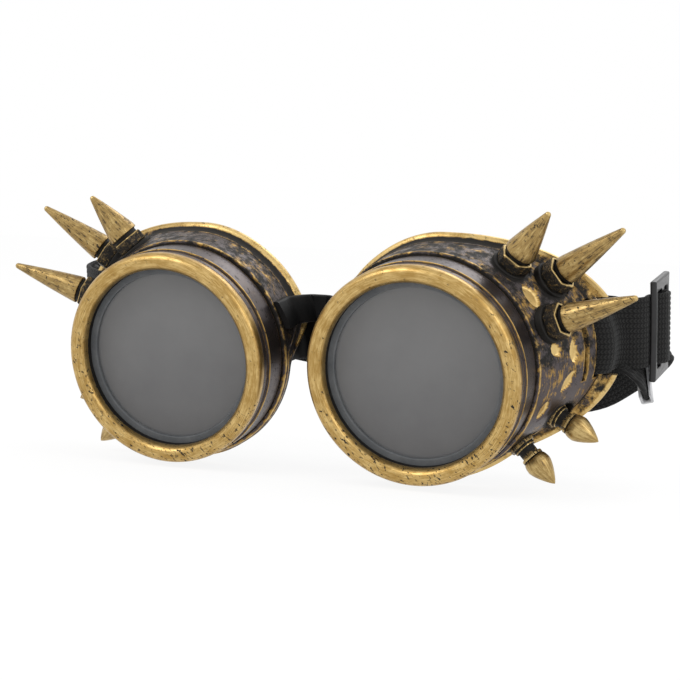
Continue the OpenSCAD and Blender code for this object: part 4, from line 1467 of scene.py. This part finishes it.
@dataclass
class HeadStrap:
    """The elastic strap with its slider and end clip. Lengths in millimetres."""

    wide: float = 19.0
    thick: float = 1.4
    ribs: int = 14
    rib_rise: float = 0.2
    rise: float = Eyecup.strap_rise
    bow: float = Eyecup.lug_bend
    bow_z: float = Eyecup.flare_rise
    slot_out: float = Eyecup.slots[1][0]
    lug_x: float = 39.33
    play: float = 0.5
    back_y: float = 40.0
    layer: float = 1.9
    slider_x: float = 86.0
    slider_y: float = 43.3
    slider_w: float = 16.0
    slider_h: float = 27.0
    slider_t: float = 1.8
    mid: float = 2.6
    gap: float = 4.4

    @property
    def over_x(self) -> float:
        """Distance of the run over the outer bar from the cup's axis."""
        return Eyecup.flare_a + Eyecup.notch_proud + 2 * LAY + self.thick / 2

    @property
    def in_x(self) -> float:
        """Distance of the inner run from the cup's axis."""
        return self.lug_x - Eyecup.wall - LAY - self.play - self.thick / 2

    def lug_route(self, side: Side) -> Array:
        """Over the outer bar from outside, in through the outer slot and back behind the bar.

        On the left the sewn end then lies along the inside of the strap.
        """
        i, o, b, k, so = self.in_x, self.over_x, self.back_y, self.layer, self.slot_out
        p = [
            (o + 2.2, b + 0.6, 0.5), (o + 0.6, b - 0.6, 0.85), (o, b - 2.5, 1), (o, so + 2.7, 1),
            (o - 0.2, so + 1.5, 1), (o - 1.2, so + 0.5, 1), (o - 2.6, so, 1), (i + 1, so, 1),
            (i + 0.1, so + 0.6, 1), (i - 0.2, so + 1.9, 1), (i, b - 3, 1), (i + 0.3, b - 0.8, 1),
            (i + 1.5, b + 0.9, 1), (i + 3.2, b + k - 0.1, 0.8), (i + 5.2, b + k + 0.5, 0.4),
        ]
        if side is Side.LEFT:
            p += [(i + 7.6, b + 3.7, 0.2), (i + 10.4, b + 5.3, 0), (i + 12.6, b + 8, 0)]
        p = np.array(p)
        x, zero = side.value * (LENS_SPACING / 2 + p[:, 0]), np.zeros(len(p))
        return np.column_stack((x, p[:, 1], zero + self.rise, -side.value * p[:, 2], zero))

    def tail_route(self) -> Array:
        """The free tail, which droops inside the loop and ends in the clip."""
        x, b, k, z = LENS_SPACING / 2 + self.in_x, self.back_y, self.layer, self.rise
        end = (x + 11.2, self.slider_y + 8.2, z - 12.4)
        return np.array([
            (x + 7.6, b + k + 1.2, z - 1, -0.1, 4), (x + 9.6, b + k + 2.8, z - 3, 0, 9),
            (x + 10.6, b + k + 5, z - 6, 0, 14), (end[0] - 0.25, end[1] - 4, end[2] + 3.88, 0, 18),
            (end[0] - 0.16, end[1] - 2.59, end[2] + 2.51, 0, 18), (*end, 0, 18),
        ])

    def slider_route(self) -> Array:
        """Under the front bar, over the middle bar, under the rear bar."""
        w = self.slider_t / 2 + 0.2 + self.thick / 2
        half, mid, gap = self.slider_w / 2, self.mid / 2, self.gap
        p = np.array([
            (-w - 2.6, -half - 2.1), (-w - 0.7, -half - 0.9), (-w, -half + 0.6),
            (-w, -mid - gap + 0.5), (w, -mid - 0.4), (w + 0.3, 0), (w, mid + 0.4),
            (-w - 0.1, mid + gap - 0.5), (-w - 0.2, half - 0.6),
        ])
        zero = np.zeros(len(p))
        middle = (self.slider_x, self.slider_y + half)
        return np.column_stack((middle + p, zero + self.rise, zero, zero))

    def back_route(self) -> Array:
        """Round the back of the head loop, with the sag that the picture shows."""
        p = np.array([
            (84, 61.5, 3.6), (82, 64, 0.6), (78, 65, -4), (73, 63.5, -8.6), (67, 60, -12.2),
            (59, 56.5, -13.2), (49, 54.5, -12.4), (37, 53.5, -11), (24, 53, -9), (10, 53, -6.6),
            (-6, 53, -4.2), (-22, 53.5, -2.2), (-38, 54.5, -0.2), (-54, 56.5, 1.8), (-66, 59, 3.2),
            (-76, 61, 4.2), (-82, 60.5, 4.7), (-86, 57.5, 4.9), (-87, 53, 4.9), (-85.8, 48, 4.9),
            (-82.6, 44, 4.9),
        ])
        return np.column_stack((p, np.zeros((len(p), 2))))

    def section(self) -> Array:
        """Cross section of the elastic: round ribs on both faces between two plain edges."""
        v = np.linspace(-0.5, 0.5, 6 * self.ribs + 1)
        ridge = np.abs(np.cos(math.pi * (v + 0.5) * self.ribs + math.pi / 2)) ** 0.6
        edge = 1 - ramp(0.485, 0.5, np.abs(v))
        n = (self.thick / 2 - self.rib_rise + self.rib_rise * ridge) * (0.35 + 0.65 * edge)
        face = np.column_stack((v * self.wide, n))
        return np.vstack((face, face[::-1] * (1, -1)))

    def strap(self) -> list[Skin]:
        """The elastic in three lengths: tail and wrap, the run into the slider, and the way round.

        They meet end to end beside the lug's bar and over the slider's middle bar.
        """
        route = np.vstack((
            self.tail_route()[::-1], self.lug_route(Side.RIGHT)[::-1], self.slider_route(),
            self.back_route(), self.lug_route(Side.LEFT),
        ))
        line = spline(route, 1.6)
        beside_bar = (LENS_SPACING / 2 + self.over_x, self.back_y - 2.5)
        over_bar = (
            self.slider_x + self.slider_t / 2 + 0.5 + self.thick / 2,
            self.slider_y + self.slider_w / 2,
        )
        cuts = [int(np.argmin(np.hypot(*(line[:, :2] - p).T))) for p in (beside_bar, over_bar)]
        cuts = [0, *cuts, len(line) - 1]
        section = self.section()
        band = ribbon(line, section, self.bow, self.bow_z)
        return [length_of(band, len(section), *ends) for ends in zip(cuts, cuts[1:])]

    def slider(self) -> Object:
        """The slider: a rounded, waisted outline with two openings, thickened with round edges."""
        curve = bpy.data.curves.new("slider_outline", "CURVE")
        curve.dimensions, curve.fill_mode = "2D", "BOTH"
        rounding, waist = 0.55, 0.8
        curve.extrude, curve.offset = self.slider_t / 2 - rounding, -rounding
        curve.bevel_depth, curve.bevel_resolution = rounding, 4
        tall, wide = self.slider_h / 2, self.slider_w / 2
        z = np.linspace(-1, 1, 25)
        right = np.column_stack((tall * z, wide - waist * (1 - z**2)))
        cut = np.full(len(z), 0.01)
        cut[[0, -1]] = 1.6
        loops = [soften(np.vstack((right, right[::-1] * (1, -1))), np.tile(cut, 2), 6)]
        opening = (tall - (self.slider_h - self.wide - 1.6) / 2, self.gap / 2)
        for sign in (-1, 1):
            corners = np.array([(-1, 1), (1, 1), (1, -1), (-1, -1)]) * opening
            loops.append(soften(corners + (0, sign * (self.mid + self.gap) / 2), 0.9, 6))
        for loop in loops:
            line = curve.splines.new("POLY")
            line.points.add(len(loop) - 1)
            weight = np.ones(len(loop))
            line.points.foreach_set("co", np.column_stack((loop, 0 * weight, weight)).ravel())
            line.use_cyclic_u = True
        drawn = put("slider_drawn", curve)
        sight = bpy.context.evaluated_depsgraph_get()
        mesh = bpy.data.meshes.new_from_object(drawn.evaluated_get(sight))
        bpy.data.objects.remove(drawn)
        h, w, t = corners_of(mesh).T
        own = np.column_stack((self.slider_x - t, self.slider_y + wide + w, self.rise + h))
        mesh.vertices.foreach_set("co", REST.place(own).astype(np.float32).ravel())
        with edited(mesh) as work:
            bmesh.ops.remove_doubles(work, verts=work.verts, dist=WELD)
            bmesh.ops.recalc_face_normals(work, faces=work.faces)
        mesh.name = "slider_skin"
        shade(mesh, Crisp.ROUNDED)
        return put("slider_skin", mesh)

    def clip(self) -> Skin:
        """The folded end clip: a bent sheet section drawn across the strap."""
        long, skin, gap = 4.0, 0.7, self.thick / 2 + LAY
        outer = gap + skin
        bend = soften(
            [
                (-long, outer), (0, outer), (0, -outer), (-long, -outer),
                (-long, -gap), (-skin, -gap), (-skin, gap), (-long, gap),
            ],
            [0.2, 0.8, 0.8, 0.2, 0.2, 0.4, 0.4, 0.2],
            6,
        )
        route = self.tail_route()
        end = route[-1, :3]
        t = unit(end - route[-2, :3])
        w = unit(UP - t[2] * t)
        w = swing(w, np.cross(t, w), math.radians(route[-1, 4]))[0]
        n = np.cross(t, w)
        width = self.wide / 2 + 0.4
        across = np.array((-width, -width + 0.12, width - 0.12, width))[:, None, None]
        slim = np.array((0.9, 1.0, 1.0, 0.9))[:, None, None]
        along, off = bend.T[:, None, :, None]
        sheet = np.where(np.abs(off) > gap - 0.05, np.sign(off) * (gap + skin / 2), off)
        points = end + (along + skin + LAY) * t + (sheet + (off - sheet) * slim) * n + across * w
        faces = net(*points.shape[:2], False, True)
        points = points.reshape(-1, 3)
        return Skin.plain(points, faces, 0.3 * points)

    def build(self, finishes: Finishes) -> None:
        """Makes and dresses the strap, the slider and the clip."""
        z, y = self.rise, self.slider_y
        into = Bend("frame", "slider", (78.5, y, z), (84.0, y, z))
        out_of = Bend("slider", "frame", (83.0, y, z), (60.0, y, z))
        names = ("strap_tail_skin", "strap_run_skin", "strap_skin")
        for name, band, body in zip(names, self.strap(), ("frame", into, out_of)):
            length = stand(band, name, Crisp.CLOTH, fill_ends=True)
            dress(length, finishes.elastic, "black_elastic", body, "head_strap")
        dress(self.slider(), finishes.slider, "black_gloss", "slider", "strap_slider")
        clip = stand(self.clip(), "clip_skin", Crisp.SMALL, fill_ends=True)
        with edited(clip.data) as work:
            bmesh.ops.recalc_face_normals(work, faces=work.faces)
        dress(clip, finishes.clip, "pale_metal", "frame", "strap_end_clip")


@dataclass
class NoseStrip:
    """The soft strip between the cups, upper half outside their walls, lower half tucked in."""

    high: float = 19.2
    thick: float = 1.6
    rise: float = 4.7
    split: float = 7.0
    lap: float = 0.1
    rake: float = 0.149
    rim: float = Eyecup.rim_depth
    crease: float = Eyecup.rim_depth - Eyecup.flange_len
    shoulder_y: float = Eyecup.shoulder_y
    floor_y: float = Eyecup.floor_y

    def section(self, high: float) -> Array:
        """A flat band with round edges."""
        corners = np.array([(-1, 1), (1, 1), (1, -1), (-1, -1)]) * (high / 2, self.thick / 2)
        return densify(soften(corners[::-1], 0.5, 7)[::-1], 0.8)

    def half_strip(self, points: Array, high: float, z: float) -> Skin:
        """One half of the strip, mirrored across the nose."""
        zero = np.zeros(len(points))
        own = np.column_stack((points[:, :2], zero + z, points[:, 2], zero))
        line = spline(np.vstack((own[:0:-1] * (-1, 1, 1, -1, 1), own)), 0.8)
        return ribbon(line, self.section(high), Eyecup.shoulder_r, 0.0, self.rake)

    def build(self, finishes: Finishes) -> None:
        """Makes both halves as one piece."""
        gap, off = LENS_SPACING / 2 - Eyecup.shoulder_r, LAY + self.thick / 2
        top, bottom = self.rise + self.high / 2, self.rise - self.high / 2
        upper_h, lower_h = top - self.split + self.lap, self.split + self.lap - bottom
        rim, wall, sy = self.rim, gap - off, self.shoulder_y
        upper = np.array([
            (0, rim - 1.8, 0), (gap - 3.9, rim - 1.9, 0.3), (wall - 2.6, rim - 2.8, 0.8),
            (wall - 1.9, rim - 4.4, 1), (wall - 0.1, self.crease - 1.6, 1), (wall, sy + 3.4, 1),
            (wall, sy + 0.6, 1),
        ])
        lower = np.array([
            (0, rim - 0.4, 0), (gap - 3.6, rim, 0), (gap - 1.4, rim + 1.3, 0.3),
            (gap + 1.2, rim + 2, 0.6), (gap + 3.3, rim + 1, 1), (gap + 4.2, rim - 1.4, 1),
            (gap + 4.4, rim - 5, 1), (gap + 4.5, self.floor_y + 3.6, 1),
        ])
        whole = joined(
            self.half_strip(upper, upper_h, self.split - self.lap + upper_h / 2),
            self.half_strip(lower, lower_h, self.split + self.lap - lower_h / 2),
        )
        piece = stand(whole, "nose_strip_skin", Crisp.SMALL, fill_ends=True)
        dress(piece, finishes.strip, "black_soft_plastic", "frame", "nose_strip")


# Stage


@dataclass
class Studio:
    """Camera, floor, world and lamps."""

    turn: float = math.radians(23.021)
    rise: float = math.radians(12.957)
    roll: float = math.radians(-1.646)
    away: float = 449.45
    lens: float = 93.65
    target: Point = (15.654, 0.0, 8.172)
    sky: float = 0.85
    floor_wide: float = 8.0
    floor_drop: float = 1.4
    floor_glow: float = 1.03
    glow_share: float = 0.86
    aim: Point = (0.0, 0.0, 0.03)
    sensor: float = 36.0
    clip: tuple[float, float] = (0.01, 50.0)
    lamps: tuple[tuple[str, Point, float, float], ...] = (
        ("key", (-0.55, -0.75, 0.85), 0.5, 3.4),
        ("fill", (0.85, -0.35, 0.5), 0.6, 1.8),
        ("rim", (0.1, 0.7, 0.75), 0.5, 1.8),
    )

    def camera(self) -> None:
        """Puts the camera where the picture was taken from, laid back with the goggles."""
        ahead, level = math.cos(self.turn), math.cos(self.rise)
        back = np.array((math.sin(self.turn) * level, -ahead * level, math.sin(self.rise)))
        right = unit(np.cross(-back, UP))
        right, up = swing(right, np.cross(right, -back), -self.roll)
        view = bpy.data.cameras.new("camera")
        view.sensor_width, view.lens = self.sensor, self.lens
        view.clip_start, view.clip_end = self.clip
        camera = put("camera", view)
        frame = np.eye(4)
        frame[:3, :3] = REST.turn(np.array((right, up, back))).T
        frame[:3, 3] = REST.place(np.array(self.target) + self.away * back)[0]
        camera.matrix_world = Matrix(frame.tolist())
        bpy.context.scene.camera = camera

    def world(self) -> None:
        """White where it is seen, softer where it lights."""
        world = bpy.data.worlds.new("studio")
        bpy.context.scene.world = world
        world.use_nodes = True
        n = Nodes(world.node_tree)
        strength = n.level(n.seen(), self.sky, 1.0)
        sky = n.node("Background", {"Color": WHITE, "Strength": strength})
        n.tree.links.new(sky.outputs[0], n.node("OutputWorld").inputs[0])

    def floor(self) -> None:
        """A wide pale floor that keeps a soft shadow and is white elsewhere.

        It lies a little below the goggles, because the caps tip down as they are screwed off.
        """
        r = Recipe("pale_floor")
        speckle = r.noise(r.place(), 0.4, 2.0, 0.5)
        r.set(Base_Color=r.between(speckle, (240, 240, 240), (246, 246, 246)))
        r.set(Roughness=0.9, Specular_IOR_Level=0.0)
        glow = r.node("Emission", {"Color": WHITE, "Strength": self.floor_glow})
        share = r.math("MULTIPLY", r.seen(), self.glow_share)
        mix = r.node("MixShader", {0: share, 1: r.shader.outputs[0], 2: glow.outputs[0]})
        r.feed(r.output.inputs[0], mix.outputs[0])
        mesh = bpy.data.meshes.new("floor")
        corners = np.array([(-1, -1, 0), (1, -1, 0), (1, 1, 0), (-1, 1, 0)]) * self.floor_wide / 2
        mesh.from_pydata(corners - (0.0, 0.0, self.floor_drop * MM), [], [(0, 1, 2, 3)])
        mesh.materials.append(r.material)
        put("floor", mesh)

    def lamp(self, name: str, place: Point, size: float, power: float) -> None:
        """A square soft lamp that looks at the goggles."""
        light = bpy.data.lights.new(name, "AREA")
        light.shape, light.size, light.energy = "SQUARE", size, power
        lamp = put(name, light)
        lamp.location = place
        aim = Vector(self.aim) - Vector(place)
        lamp.rotation_euler = aim.to_track_quat("-Z", "Y").to_euler()

    def build(self) -> None:
        """Sets the stage."""
        bpy.context.scene.view_settings.view_transform = "Standard"
        self.camera()
        self.world()
        self.floor()
        for lamp in self.lamps:
            self.lamp(*lamp)


def main() -> None:
    """Loads the solids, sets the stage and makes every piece."""
    logging.basicConfig(level=logging.INFO, format="%(name)s: %(message)s")
    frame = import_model()
    Studio().build()
    finishes = Finishes()
    cap, cup, spikes = ScrewCap(), Eyecup(), Spikes()
    for side in Side:
        cap.build(side, finishes)
        cup.build(side, finishes)
        spikes.build(side, finishes)
        coat(frame["nodes"][f"spike_nuts_{side.word}"], finishes.steel)
    HeadStrap().build(finishes)
    NoseStrip().build(finishes)


if __name__ == "__main__":
    main()
